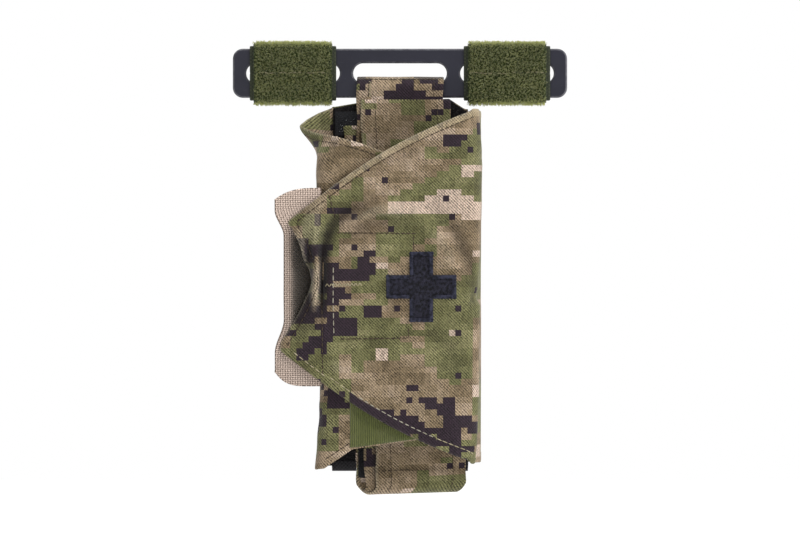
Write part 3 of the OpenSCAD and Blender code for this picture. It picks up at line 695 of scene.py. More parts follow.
s_line = np.concatenate([np.arange(SPLIT, FLAT, 0.8), np.linspace(FLAT, OUTER_END, 46)])
x_line = np.minimum(s_line, HALF)
ROW_STEP, TYPICAL_HEIGHT = 0.85, 150.0
shares = rows_between(TYPICAL_HEIGHT, FINE, ROW_STEP)
z_grid = outer_top(x_line)[:, None] + (outer_bottom(x_line) - outer_top(x_line))[:, None] * shares
s_grid = np.broadcast_to(s_line[:, None], z_grid.shape)
outer_grid = outer_point(s_grid, z_grid)
print("outer flap grid", outer_grid.shape[:2])

# %% [markdown]
# ## Lining and plain finishes
# The pouch is lined with black loop fabric, a short dense pile that takes hook tape, so it looks
# like dull velvet with paler flecks. The reverse of the camouflage cloth is coated a plain dark
# olive. Thread, hook tape and binding are simple nylon finishes with their own grain.


# %% Black loop lining, cloth reverse, binding, hook tape and thread
def pile_fabric(name, low, high, flecks, sheen=0.25):
    recipe = Recipe(name, roughness=0.95, specular=0.06, sheen=sheen)
    place = recipe.place()
    curls = recipe.noise(place, 1500, 3, 0.6)
    shade = recipe.mix(recipe.spread(curls, 0.35, 0.7), low, high)
    shade = recipe.mix(recipe.spread(recipe.noise(place, 120, 2), 0.3, 0.7, 0.0, 0.35), shade, low)
    shade = recipe.mix(recipe.spread(recipe.noise(place, 2600, 0), 0.74, 0.80), shade, flecks)
    return recipe.done(Base_Color=shade, Normal=recipe.bump(curls, 0.5 * MM))


def plain_weave(name, tone, other, pitch=0.7 * MM, roughness=0.8, depth=0.1, sheen=0.05):
    """A small two-way weave with a little colour between its threads."""
    recipe = Recipe(name, roughness=roughness, specular=0.15, sheen=sheen)
    uv = recipe.uv()
    first, second = (recipe.wave(axis, math.pi / pitch) for axis in recipe.split(uv)[:2])
    cross = first * second
    shade = recipe.mix(recipe.spread(cross, -0.6, 0.6), tone, other)
    wander = recipe.spread(recipe.noise(uv, 260, 2), 0.35, 0.7, 0.0, 0.5)
    return recipe.done(Base_Color=recipe.mix(wander, shade, other),
                       Normal=recipe.bump(abs(cross), depth * MM))


def thread(name, tone, light, glint=None, glints=0.07):
    """Nylon thread. With glint, that share of a tuft tree's fibres is given the glint colour, a
    painted highlight.
    """
    recipe = Recipe(name, roughness=0.7, specular=0.15, sheen=0.04)
    place = recipe.place()
    shade = recipe.mix(recipe.spread(recipe.noise(place, 800, 2), 0.35, 0.65), tone, light)
    if glint:
        shade = recipe.mix(recipe.attribute("tone") > 1 - glints, shade, glint)
    twist = recipe.noise(recipe.mapping(place, turn=35, scale=(1, 1, 4)), 2500, 1)
    return recipe.done(Base_Color=shade, Normal=recipe.bump(twist, 0.06 * MM))


LINING = pile_fabric("black_loop_lining", colour(10, 9, 10), colour(44, 41, 42),
                     colour(104, 100, 98), 0.06)
REVERSE = plain_weave("coated_reverse", colour(62, 58, 44), colour(80, 74, 56), 0.6 * MM,
                      0.55, 0.05, 0.0)
BINDING = plain_weave("black_binding", colour(19, 18, 20), colour(42, 41, 43), 0.8 * MM)
HOOK_TAPE = plain_weave("black_hook_tape", colour(14, 14, 16), colour(27, 27, 30), 0.9 * MM,
                        0.6, 0.12)
# Both hook finishes paint a share of their hooks in a pale glint colour, as painted highlights.
HOOKS = thread("hook_plastic", colour(22, 22, 25), colour(70, 70, 76), colour(150, 150, 156))
HOOKS_PAINTED_GLINTS = thread("hook_plastic_bright", colour(30, 32, 36), colour(84, 88, 92),
                     colour(206, 210, 212), 0.22)
DARK_THREAD = thread("dark_thread", colour(52, 42, 36), colour(78, 66, 52))
TAN_THREAD = thread("tan_thread", colour(150, 140, 112), colour(178, 168, 140))
WHITE_THREAD = thread("pale_thread", colour(142, 136, 120), colour(176, 170, 154))
print("plain finishes:", len(bpy.data.materials), "materials so far")

# %% Outer flap object
outer_cut = np.stack([s_grid, z_grid], -1)
outer_flap = sheet_mesh("OuterFlapCloth", outer_grid, outer_cut, CLOTH, [CAMO_OUTER, REVERSE],
                        outer_marks(s_grid, z_grid), 1)
BEND = 3 * MM
turn_depth = (flap.front / 2) * MM


def wall_bend(body):
    """The bend between the pouch and a flap, in the middle of the side wall."""
    return "pouch", body, (0, -(turn_depth - BEND), 0), (0, -(turn_depth + BEND), 0)


dress(outer_flap, wall_bend("outer_flap"), "camouflage_cloth", "outer_flap", "outer_flap_root",
      "outer_flap_top_hem", "outer_flap_bottom_hem")


def cut_area(cut):
    """Area of the flat cut, in square metres, from the cut's own map."""
    a, b, c, d = cut[:-1, :-1], cut[1:, :-1], cut[1:, 1:], cut[:-1, 1:]
    p, q = c - a, d - b
    return float(np.abs(p[..., 0] * q[..., 1] - p[..., 1] * q[..., 0]).sum() / 2) * MM * MM


def laid_flat(grid):
    """Width, height and area, in metres, of a gathered face once its folds are pulled out."""
    across = np.linalg.norm(np.diff(grid, axis=0), axis=-1).sum(0).max()
    down = np.linalg.norm(np.diff(grid, axis=1), axis=-1).sum(1).max()
    p, q = grid[1:, 1:] - grid[:-1, :-1], grid[:-1, 1:] - grid[1:, :-1]
    return (across * MM, down * MM), np.linalg.norm(np.cross(p, q), axis=-1).sum() / 2 * MM * MM


def declare_sheet(piece, cut, grid=None):
    """Prints the size and area of a sheet's cut, or of its folded grid where it is gathered."""
    size, area = np.ptp(cut.reshape(-1, 2), axis=0) * MM, cut_area(cut)
    if grid is not None:
        size, area = laid_flat(grid)
    print(piece.name, "cut", [round(float(v) / MM) for v in size], "mm, area",
          round(float(area) * 1e4, 1), "cm2")

# %% [markdown]
# ## The grab edge
# The flap's left edge stands out past the pouch, so a gloved hand can find it. Its edge curves
# in at the waist, where the cloth gathers into deep folds. The mesh is a patch drawn between
# four lines: the two hems, the waist and the column where the main flap ends. It shares that
# column's points and the flap's relief, so the two meet without a gap.

# %% Grab edge mesh
GRAB_STEPS = 46
WAIST = 11.8


def waist(v):
    a, b = np.array(TOP_LEFT), np.array(LOW_LEFT)
    line = a + (b - a) * v[:, None]
    pulled_in = 1 - np.clip(np.abs(v - 0.47) / 0.47, 0, 1) ** 1.35
    return line + np.stack([WAIST * pulled_in * smooth(v / 0.06) * smooth((1 - v) / 0.06), 0 * v],
                           -1)


v = shares
u = np.linspace(0, 1, GRAB_STEPS) ** 0.85
top_x = TOP_LEFT[0] + (SPLIT - TOP_LEFT[0]) * u
low_x = LOW_LEFT[0] + (SPLIT - LOW_LEFT[0]) * u
top_row = np.stack([top_x, outer_top(top_x)], -1)
low_row = np.stack([low_x, outer_bottom(low_x)], -1)
left_column = waist(v)
right_column = np.stack([np.full(len(v), SPLIT), z_grid[0]], -1)
U, V = u[:, None, None], v[None, :, None]
grab_cut = ((1 - V) * top_row[:, None] + V * low_row[:, None]
            + (1 - U) * left_column[None] + U * right_column[None]
            - (1 - U) * (1 - V) * top_row[0] - (1 - U) * V * low_row[0]
            - U * (1 - V) * top_row[-1] - U * V * low_row[-1])
grab_x, grab_z = grab_cut[..., 0], grab_cut[..., 1]
edge_gap = grab_x - np.interp(-grab_z, -left_column[:, 1], left_column[:, 0])


def grab_point(x, z, gap):
    """The grab edge's outer face: the flap's relief, rolled back a little at the free edge."""
    point = outer_point(x, z)
    curl = 1.5 * np.exp(-np.maximum(gap, 0) / 2.6) - raised_hem(gap, 2.6, 0.4)
    return point + np.stack([0 * x, curl, 0 * x], -1)


grab_grid = grab_point(grab_x, grab_z, edge_gap)
marks = outer_marks(grab_x, grab_z)
marks["worn_and_painted_highlight"] = marks["worn_and_painted_highlight"] + 0.6 * np.exp(-(np.maximum(edge_gap, 0) / 0.6) ** 2)
grab_edge = sheet_mesh("GrabEdgeCloth", grab_grid, grab_cut, CLOTH, [CAMO_OUTER, REVERSE],
                       marks, 1)
GRAB_BEND = "outer_flap", "grab_edge", (SPLIT * MM, 0, 0), ((SPLIT - 5.5) * MM, 0, 0)
dress(grab_edge, GRAB_BEND, "camouflage_cloth", "grab_edge")
print("grab edge grid", grab_grid.shape[:2])

# %% [markdown]
# ## The inner flap
# This flap comes round the left side and lies under the outer one. At the pouch's upper left
# corner its wall is pushed out into a beak, so the mouth shows the inside of the cloth. Seen
# from above, the wall's line is a rounded corner lower down and a sharp V at the mouth, so the
# mesh mixes the two lines by the distance below the mouth's edge.

# %% Inner flap mesh
MOUTH = np.array([(FLAT, -29.9), (33, -29.2), (38, -28.6), (46, -27.3), (51, -25.6),
                  (54.2, -24.0), (57, -21.2), (61, -18.4), (INNER_END, -15.6)])
FOOT = np.array([(-10, -162.8), (21, -167.4), (33.5, -175.9), (40, -176.6),
                 (50, -175.7), (INNER_END, -175.7)])
BEAK = np.array([(26.0, 26.0, inner.front), (40, 35.6, 23.5), (54.2, 44.9, 12.0),
                 (INNER_END, FLAT, panel.back)])
LEFT_CONTOUR = np.array([(-24, 0.2), (-33, 0.4), (-46, 0.6), (-60, 0.5), (-90, 0.0),
                         (-120, -0.8), (-142, -1.4), (-158, -0.3), (-170, 0.6), (-176, 0.9)])


def inner_top(s):
    front_line = hem_line(-s, (-HALF, -28.2), (inner.right, -45.0), 2.5)
    return np.where(s < FLAT, front_line, np.interp(s, MOUTH[:, 0], MOUTH[:, 1]))


def inner_point(s, z):
    """The inner flap's outer face at distance s to the left along its cut."""
    across, depth, sideways, forward = wall_line(s, inner.front, panel.back)
    below = inner_top(s) - z
    relief = 0.12 * ripple(s, z, 13, 21)
    shown_top = smooth((z - outer_top(-across) + 1) / 4) * (s < 40)
    shown_low = smooth((outer_bottom(-across) - z + 1) / 4) * (s < 40)
    free = np.maximum(shown_top, shown_low)
    relief = relief + free * (0.5 + 0.45 * ripple(s, z, 9, 5))
    relief = relief + free * fold(-s, z, [(-37, -34.5), (-27, -36.5), (-12, -40)], -0.9, 1.3)
    relief = relief + free * fold(-s, z, [(-36, -40), (-28, -45), (-20, -49)], 0.8, 1.8)
    relief = relief + shown_low * fold(-s, z, [(-33, -148), (-31, -160), (-26, -168)], 0.9, 2.0)
    relief = relief + shown_low * fold(-s, z, [(-36, -158), (-33, -168), (-35, -176)], -0.7, 1.4)
    relief = relief + free * raised_hem(below * 0.95, 2.3, 0.5)
    side = smooth((s - 25) / 8) * (1 - smooth((s - 52) / 9))
    contour = np.interp(-z, -LEFT_CONTOUR[:, 0], LEFT_CONTOUR[:, 1])
    relief = relief * (1 - 0.5 * side) * (1 - smooth((s - 50) / 9)) + contour * side
    x, d = across + sideways * relief, depth + forward * relief
    beak = 1 - smooth(below / 12.5)
    beak = beak * smooth((s - 25.5) / 6)
    v_x = np.interp(s, BEAK[:, 0], BEAK[:, 1])
    v_d = np.interp(s, BEAK[:, 0], BEAK[:, 2])
    return to_space(-(x + (v_x - x) * beak), d + (v_d - d) * beak, z)


s_line = np.concatenate([np.linspace(INNER_END, FLAT, 60),
                         np.arange(FLAT - 0.7, -inner.right, -0.8), [-inner.right]])
foot_line = np.interp(s_line, FOOT[:, 0], FOOT[:, 1])
inner_shares = rows_between(140.0, (0, 0.3, 0.7, 1.2, 1.8, 2.2, 2.6, 3.1, 3.8), 1.0)
inner_z = inner_top(s_line)[:, None] + (foot_line - inner_top(s_line))[:, None] * inner_shares
inner_s = np.broadcast_to(s_line[:, None], inner_z.shape)
inner_grid = inner_point(inner_s, inner_z)
inner_cut = np.stack([-inner_s, inner_z], -1)
near_mouth = ((inner_top(inner_s) - inner_z) < 24).astype(int)
inner_marks = {"worn_and_painted_highlight": 0.7 * np.exp(-((inner_top(inner_s) - inner_z) / 0.5) ** 2)}
inner_flap = sheet_mesh("InnerFlapCloth", inner_grid, inner_cut, CLOTH,
                        [CAMO_INNER, LINING, CAMO_INNER], inner_marks, 1 + near_mouth)
dress(inner_flap, wall_bend("inner_flap"), "camouflage_cloth", "inner_flap", "inner_flap_root",
      "inner_flap_hem")
print("inner flap grid", inner_grid.shape[:2])

# %% [markdown]
# ## Straps
# A strap is flat webbing that follows a line in the side view. The same sheet helper makes it:
# the line is smoothed, every point gets a row across the strap, and the outer face lies half a
# thickness in front. Straps are modelled directly, because they hold their shape by tension.


# %% Strap helper
ACROSS_STEPS = 26


def through(points, step, rounds):
    """A smooth line through points, with corners cut off a few times and even steps."""
    line = np.array(points, float)
    for _ in range(rounds):
        a, b = line[:-1], line[1:]
        cut = np.stack([a * 0.75 + b * 0.25, a * 0.25 + b * 0.75], 1).reshape(-1, line.shape[1])
        line = np.concatenate([line[:1], cut, line[-1:]])
    run = np.concatenate([[0], np.cumsum(np.linalg.norm(np.diff(line, axis=0), axis=1))])
    at = np.linspace(0, run[-1], max(8, int(run[-1] / step)))
    return np.stack([np.interp(at, run, line[:, k]) for k in range(line.shape[1])], -1), at


def strap_grid(points, width, thickness, tilts=None, step=1.0, rounds=2, wave=0.0, seed=1):
    """Outer face and cut of a strap whose middle runs through (x, depth, z) points."""
    tilts = [0] * len(points) if tilts is None else tilts
    line, at = through([(*p, t) for p, t in zip(points, tilts)], step, rounds)
    middle = to_space(line[:, 0], line[:, 1], line[:, 2])
    lean = np.radians(line[:, 3])
    ahead = unit(np.gradient(middle, axis=0))
    sideways = np.stack([np.cos(lean), 0 * lean, np.sin(lean)], -1)
    out = unit(np.cross(ahead, sideways))
    q = np.linspace(-0.5, 0.5, ACROSS_STEPS)
    q = np.sign(q) * (0.5 - (0.5 - np.abs(q)) ** 1.15 * 0.5 ** -0.15)
    swell = wave * ripple(q[:, None] * width, at[None, :], 14, seed)
    edges = 0.25 * np.sin(at[None, :] / 3.1 + seed) * np.abs(2 * q[:, None]) ** 6
    grid = (middle[None] + sideways[None] * (q[:, None, None] * width + edges[..., None])
            + out[None] * (thickness / 2 + swell[..., None]))
    cut = np.stack([np.broadcast_to(q[:, None] * width, swell.shape),
                    np.broadcast_to(-at[None, :], swell.shape)], -1)
    return grid, cut


print("strap helper ready")

# %% [markdown]
# ## The hanger strap
# One length of camouflage webbing goes up behind the pouch, over the bar's lower rail through
# the slot, and down inside the pouch. It turns with the pouch around the rail.

# %% Hanger strap
hanger = box("hanger_strap")
tail = box("strap_tail")
THICK = tail.front - tail.back
bar_middle = (bar.back + bar.front) / 2
arch = hanger.top - (hanger.front - hanger.back) / 2
arch_r = (hanger.front - hanger.back) / 2 - THICK / 2
rear, front_leg = panel.back - 0.15 - THICK / 2, 8.05
turn = [(0, bar_middle - arch_r * math.cos(a), arch + arch_r * math.sin(a))
        for a in np.linspace(0, math.pi, 13)]
hanger_line = ([(0, rear, hanger.bottom), (0, rear, -30), (0, rear, -17.5)] + turn
               + [(0, front_leg + 0.5, -11.2), (0, front_leg, -14.5), (0, front_leg, -30),
                  (0, front_leg, hanger.bottom)])
grid, cut = strap_grid(hanger_line, hanger.right - hanger.left, THICK, step=0.7, wave=0.16, seed=3)
hanger_grid, hanger_cut = grid, cut
hanger_strap = sheet_mesh("HangerStrap", grid, cut, THICK, [CAMO_HANGER],
                          {"worn_and_painted_highlight": 0.5 * (grid[..., 2] > -2.6)})
dress(hanger_strap, "pouch", "camouflage_webbing", "hanger_strap")
print("hanger strap turns at depth", round(bar_middle, 2), "radius", round(arch_r, 2))

# %% [markdown]
# ## The closure strap and its tail
# The strap comes out over the hanger strap, runs down inside the pouch, turns under the lower
# edge and goes up the back, where hook tape holds it. The tail peels away from the back, and the
# mesh is one piece round the bottom fold.

# %% Closure strap with its tail
closure_width = tail.right - tail.left
FOLD_DEPTH, TAIL_X = 4.5, (tail.left + tail.right) / 2
turn_r = FOLD_DEPTH - (tail.back + tail.front) / 2
top_x, low_x = 2.2, 9.8
CLOSURE_TOP, CLOSURE_DEPTH = -12.4, 9.5
knee = [*((z, CLOSURE_DEPTH) for z in (CLOSURE_TOP, -34, -56)), (-68, FOLD_DEPTH + turn_r),
        (-110, FOLD_DEPTH + turn_r), (-150, FOLD_DEPTH + turn_r)]
lean = lambda z: top_x + (low_x - top_x) * (z - CLOSURE_TOP) / (tail.bottom - CLOSURE_TOP)
closure_line = [(lean(z), d, z) for z, d in knee]
closure_line += [(low_x + (TAIL_X - low_x) * t, FOLD_DEPTH + turn_r * math.cos(math.pi * t),
                  tail.bottom - 0.3 - turn_r * math.sin(math.pi * t))
                 for t in np.linspace(0, 1, 13)]
closure_line += [(TAIL_X, 0.95, z) for z in (-175, -150, -125, tail.top)]
tilts = [0] * 6 + [3.5 * (1 - t) for t in np.linspace(0, 1, 13)] + [0] * 4
grid, cut = strap_grid(closure_line, closure_width, THICK, tilts, step=0.8)
x, z = grid[..., 0], grid[..., 2]
ahead_of = np.clip((-grid[..., 1] - 6.5) / 1.5, 0, 1)
relief = 0.22 * ripple(cut[..., 0], cut[..., 1], 12, 8) * ahead_of
relief = relief + ahead_of * fold(x, z, [(-12, -177.4), (8, -176.8), (30, -176.2)], -0.6, 0.9)
relief = relief + ahead_of * fold(x, z, [(-12, -181), (10, -180), (30, -179)], 0.45, 1.8)
grid = grid - np.stack([0 * x, relief, 0 * x], -1)
# Paled at the bottom fold, and a painted highlight along the left edge, where this strap lies over
# the adjuster strap.
marks = {"worn_and_painted_highlight": 0.4 * np.exp(-(((-grid[..., 1] - FOLD_DEPTH) / 2.5) ** 2)) * (z < -184)
         + 0.8 * np.exp(-((cut[..., 0] + closure_width / 2) / 0.7) ** 2)}
closure_strap = sheet_mesh("ClosureStrap", grid, cut, THICK, [CAMO_STRAP], marks)
dress(closure_strap, ("pouch", "strap_tail", (0, -6.0 * MM, 0), (0, -1.8 * MM, 0)),
      "camouflage_webbing", "closure_strap", "strap_tail")
closure_grid, closure_cut = grid, cut
print("closure strap", round(float(-cut[..., 1].min())), "mm long")

# %% [markdown]
# ## The adjuster strap
# A wider strap lies behind the closure strap and turns up inside it at the bottom. It shows as a
# second layer at the left of the fold, and its corner shows in the pouch's mouth.

# %% Adjuster strap
ADJUSTER_WIDTH, ADJUSTER_DEPTH = 43, 6.6
adjuster_r = FOLD_DEPTH - 2.4
adjuster_line = [(-3.5 + 10 * (-24 - z) / 160.3, ADJUSTER_DEPTH, z)
                 for z in (-24, -60, -100, -140, -172)]
adjuster_line += [(6.5 - 2.5 * t, FOLD_DEPTH + adjuster_r * math.cos(math.pi * t),
                   tail.bottom - 0.3 - adjuster_r * math.sin(math.pi * t))
                  for t in np.linspace(0, 1, 11)]
tilts = [0] * 5 + [3.5 * (1 - t) for t in np.linspace(0, 1, 11)]
grid, cut = strap_grid(adjuster_line, ADJUSTER_WIDTH, THICK, tilts, step=0.8, wave=0.1, seed=6)
# Painted shadow on the adjuster strap beside the left edge of the closure strap that lies over it.
lap_edge = lean(grid[..., 2]) - closure_width / 2 - 0.2
under_lap = (np.exp(-(np.maximum(lap_edge - grid[..., 0], 0) / 1.6) ** 2)
             * (grid[..., 1] < -FOLD_DEPTH))
adjuster_strap = sheet_mesh("AdjusterStrap", grid, cut, THICK, [CAMO_STRAP],
                            {"worn_and_painted_highlight": 0 * grid[..., 0], "deep": under_lap})
dress(adjuster_strap, "pouch", "camouflage_webbing", "adjuster_strap")
print("adjuster strap", ADJUSTER_WIDTH, "mm wide")

# %% [markdown]
# ## The back panel, its lining and its binding
# The back is a flat panel of camouflage cloth with black loop fabric on its inner face. Its top
# edge is a line of slopes, and its lower edge has a notch where the strap comes round. A grid
# with straight columns between a top line and a bottom line takes both.

# %% Back panel and lining
BACK_TOP = np.array([(-30, -15.6), (-29, -15.6), (-18, -13.7), (22, -12.0), (29, -16.6),
                     (30, -16.6)])
NOTCH_LEFT, NOTCH_RIGHT, NOTCH_TOP = -19.55, 24.0, panel.bottom + 10


def panel_columns(inset):
    left, right = panel.left + inset, panel.right - inset
    steps = [np.linspace(left, NOTCH_LEFT - inset, 12), [NOTCH_LEFT - inset + 0.06],
             np.linspace(NOTCH_LEFT + 1, NOTCH_RIGHT - 1, 44), [NOTCH_RIGHT + inset - 0.06],
             np.linspace(NOTCH_RIGHT + inset, right, 8)]
    x = np.concatenate(steps)
    top = np.interp(x, BACK_TOP[:, 0], BACK_TOP[:, 1]) - inset
    in_notch = (x > NOTCH_LEFT - inset + 0.03) & (x < NOTCH_RIGHT + inset - 0.03)
    low = np.where(in_notch, NOTCH_TOP + inset, panel.bottom + inset)
    return x, top, low


def flat_panel(name, inset, back, front, materials, face_back, relief, seed):
    x, top, low = panel_columns(inset)
    if face_back:
        x, top, low = x[::-1], top[::-1], low[::-1]
    share = np.linspace(0, 1, 120)
    z = top[:, None] + (low - top)[:, None] * share
    x2 = np.broadcast_to(x[:, None], z.shape)
    wave = relief * ripple(x2, z, 18, seed)
    grid = to_space(x2, (back + wave) if face_back else (front + wave), z)
    cut = np.stack([x2, z], -1)
    return sheet_mesh(name, grid, cut, front - back, materials, {"worn_and_painted_highlight": 0 * z}), cut


lining_box = box("back_lining")
back_panel, back_cut = flat_panel("BackPanel", -0.25, panel.back, panel.front - 0.02,
                                  [CAMO_BACK], True, 0.06, 2)
dress(back_panel, "pouch", "camouflage_cloth", "back_panel")
declare_sheet(back_panel, back_cut)
back_lining, _ = flat_panel("BackLining", 0.4, panel.front + 0.02, lining_box.front, [LINING],
                            False, 0.12, 7)
dress(back_lining, "pouch", "black_loop_lining", "back_lining")
print("back panel", round(panel.right - panel.left), "mm wide")

# %% Binding along the lower edge, beside the notch
binding = box("bottom_binding")
BIND = [(panel.back - 0.35, 2.6), (panel.back - 0.5, 0.6), (panel.back - 0.1, -0.9),
        (panel.back + 0.6, -1.75), (FOLD_DEPTH, -2.0), (lining_box.front - 0.6, -1.75),
        (lining_box.front + 0.1, -0.9), (lining_box.front + 0.5, 0.6),
        (lining_box.front + 0.35, 2.6)]
BIND_STEP = 0.35
profile = through(BIND, BIND_STEP, 2)[0]


def bound_edge(name, left, right):
    x = np.linspace(left, right, max(10, int((right - left) / 0.5)))[:, None]
    d, h = profile[None, :, 0], profile[None, :, 1]
    pucker = 0.12 * np.sin(x * 2 * math.pi / 2.6) * (np.abs(h - 1.2) < 1.2)
    bulged = d + (d - FOLD_DEPTH) * pucker * 0.5
    grid = to_space(x + 0 * d, bulged, panel.bottom + h + 0 * x)[:, ::-1]
    cut = np.stack([x + 0 * d, -np.arange(d.shape[1])[None] * BIND_STEP + 0 * x], -1)
    return sheet_mesh(name, grid, cut, 0.5, [BINDING])


for name, left, right in (("BindingLeft", binding.left - 0.3, NOTCH_LEFT - 0.2),
                          ("BindingRight", NOTCH_RIGHT + 0.2, binding.right + 0.3)):
    dress(bound_edge(name, left, right), "pouch", "black_binding", "bottom_binding")
print("binding of", len(profile), "points in section")

# %% [markdown]
# ## Threads by Geometry Nodes
# Stitches, satin borders and bar tacks are all short lengths of thread laid end to end or side
# by side. A small node tree takes a mesh of loose edges and lays one spindle of thread on each,
# as long as the edge, so one tree sews everything. The edges come from a line on the cut, which
# is stepped at the stitch length and lifted just off the cloth.


# %% Trees that end in one plain piece
def new_tree(name, **inputs):
    """A geometry tree, the outputs of its start, and a way to add nodes to it."""
    tree = bpy.data.node_groups.new(name, "GeometryNodeTree")
    for label, kind in {"Geometry": "Geometry", **inputs}.items():
        tree.interface.new_socket(label.replace("_", " "), in_out="INPUT",
                                  socket_type="NodeSocket" + kind)
    tree.interface.new_socket("Geometry", in_out="OUTPUT", socket_type="NodeSocketGeometry")
    return tree, tree.nodes.new("NodeGroupInput").outputs, partial(add_node, tree)


def finish_tree(add, geometry, material):
    real = add("GeometryNodeRealizeInstances", i0=geometry)
    soft = add("GeometryNodeSetShadeSmooth", Geometry=real.outputs[0])
    painted = add("GeometryNodeSetMaterial", Geometry=soft.outputs[0], Material=material)
    add("NodeGroupOutput", i0=painted.outputs[0])


def grown(name, source, tree, **values):
    """Runs a tree on an object and gives the result back as a plain mesh piece."""
    modifier = source.modifiers.new("tree", "NODES")
    modifier.node_group = tree
    for item in tree.interface.items_tree:
        label = item.name.replace(" ", "_")
        if item.in_out == "INPUT" and label in values:
            modifier[item.identifier] = values[label]
    bpy.context.view_layer.update()
    depsgraph = bpy.context.evaluated_depsgraph_get()
    mesh = bpy.data.meshes.new_from_object(source.evaluated_get(depsgraph))
    source.modifiers.remove(modifier)
    bpy.data.objects.remove(source)
    mesh.name = name
    return new_object(name, mesh)


# %% The tree that lays a thread on every edge
def thread_on_edges():
    tree, given, add = new_tree("thread_on_edges", Thickness="Float", Share_of_edge="Float",
                                Material="Material")
    ends = add("GeometryNodeInputMeshEdgeVertices").outputs
    ahead = add("ShaderNodeVectorMath", {"operation": "SUBTRACT"}, i0=ends["Position 2"],
                i1=ends["Position 1"])
    keep = add("GeometryNodeCaptureAttribute", {"domain": "EDGE"})
    keep.capture_items.new("VECTOR", "Ahead")
    tree.links.new(given["Geometry"], keep.inputs[0])
    tree.links.new(ahead.outputs[0], keep.inputs[1])
    dots = add("GeometryNodeMeshToPoints", {"mode": "EDGES"}, i0=keep.outputs[0])
    long = add("ShaderNodeVectorMath", {"operation": "LENGTH"}, i0=keep.outputs[1])
    filled = add("ShaderNodeMath", {"operation": "MULTIPLY"}, i0=long.outputs["Value"],
                 i1=given["Share of edge"])
    size = add("ShaderNodeCombineXYZ", i0=given["Thickness"], i1=given["Thickness"],
               i2=filled.outputs[0])
    turned = add("FunctionNodeAlignRotationToVector", {"axis": "Z"}, Vector=keep.outputs[1])
    spindle = add("GeometryNodeMeshUVSphere", Segments=6, Rings=5, Radius=0.5)
    placed = add("GeometryNodeInstanceOnPoints", Points=dots.outputs[0],
                 Instance=spindle.outputs[0], Rotation=turned.outputs[0], Scale=size.outputs[0])
    finish_tree(add, placed.outputs[0], given["Material"])
    return tree


THREAD_TREE = thread_on_edges()


def threads(name, segments, thickness, material, share=0.8):
    """A piece of sewn thread; segments is a list of (start, end) points in millimetres."""
    points = np.asarray(segments, float).reshape(-1, 3) * MM
    mesh = bpy.data.meshes.new(name + "_edges")
    mesh.from_pydata(points.tolist(), [(2 * i, 2 * i + 1) for i in range(len(points) // 2)], [])
    made = grown(name, new_object(name + "_edges", mesh), THREAD_TREE, Thickness=thickness * MM,
                 Share_of_edge=share, Material=material)
    print(name, len(points) // 2, "threads")
    return made


# %% Lines on the cut
def on_surface(surface, s, z, lift):
    """Points just off a surface that is given as a function of the cut."""
    s, z = np.asarray(s, float), np.asarray(z, float)
    step = 0.25
    along = surface(s + step, z) - surface(s - step, z)
    down = surface(s, z - step) - surface(s, z + step)
    return surface(s, z) + unit(np.cross(down, along)) * lift


def stitched(surface, path, pitch, lift, zigzag=0.0):
    """Segments of a sewn line along a path on the cut."""
    path = np.array(path, float)
    run = np.concatenate([[0], np.cumsum(np.hypot(*np.diff(path, axis=0).T))])
    at = np.linspace(0, run[-1], max(2, int(round(run[-1] / pitch)) + 1))
    s, z = np.interp(at, run, path[:, 0]), np.interp(at, run, path[:, 1])
    if zigzag:
        turn = np.gradient(np.stack([s, z], -1), axis=0)
        turn = turn / np.linalg.norm(turn, axis=-1, keepdims=True)
        swing = zigzag * np.where(np.arange(len(s)) % 2, 0.5, -0.5)
        s, z = s - turn[:, 1] * swing, z + turn[:, 0] * swing
    points = on_surface(surface, s, z, lift)
    return list(zip(points[:-1], points[1:]))


def below_line(line, gap, start, end):
    """A path that keeps a distance below (or above, if negative) one of the flap's lines."""
    x = np.linspace(start, end, 60)
    slope = np.gradient(line(x), x)
    return np.stack([x + slope * gap / np.hypot(1, slope), line(x) - gap / np.hypot(1, slope)], -1)


def sew(name, surface, lines, thickness, material, share=0.88, lift=0.12):
    """Threads along lines on a surface: each is a path, its stitch length and any zigzag."""
    segments = [pair for path, pitch, *zigzag in lines
                for pair in stitched(surface, path, pitch, lift, *zigzag)]
    return threads(name, segments, thickness, material, share)


print("sewing helpers ready")

# %% [markdown]
# ## Sewing the outer flap
# Dark thread holds the top hem, pale thread shows against the dark part of the lower hem. A box
# of stitches holds the hook field behind the cloth, a zigzag tacks its middle, and a long seam
# marks where the grab edge is joined.

# %% Stitches on the outer flap
dark_lines = [below_line(outer_top, HEM + 0.35, 32, -33.6),
              [(-28, -72.1), (7.2, -72.4)], [(5.8, -73.6), (6.2, -80)],
              [(-26.5, -119), (3.2, -118.6)], [(3.6, -113.8), (3.8, -118.6)],
              [(-31.3, -55.3), (-30.2, -60), (-28.6, -65.7)]]
pale_lines = [(below_line(outer_bottom, -(LOW_HEM + 0.1), -20.5, 13.5), 3.0),
              ([(-29.5, -87), (-29.6, -102), (-29.2, -117)], 3.2)]
tan_lines = [(below_line(outer_bottom, -(LOW_HEM + 0.1), 14.5, 33), 2.8),
             (below_line(outer_bottom, -(LOW_HEM + 0.1), -33.5, -21.5), 2.8),
             ([(-33, -95.3), (-16.8, -94.9)], 0.9, 1.5)]
for piece in (
        sew("SeamsDark", outer_point, [(p, 2.4) for p in dark_lines], 0.55, DARK_THREAD, 0.9),
        sew("SeamsPale", outer_point, pale_lines, 0.5, WHITE_THREAD, 0.78),
        sew("SeamsTan", outer_point, tan_lines, 0.48, TAN_THREAD, 0.9)):
    dress(piece, "outer_flap", "tan_thread")


# %% Stitches on the grab edge
def waist_path(gap, start, end):
    line = waist(np.linspace(start, end, 40))
    ahead = np.gradient(line, axis=0)
    ahead = ahead / np.linalg.norm(ahead, axis=-1, keepdims=True)
    return line + np.stack([-ahead[:, 1], ahead[:, 0]], -1) * gap


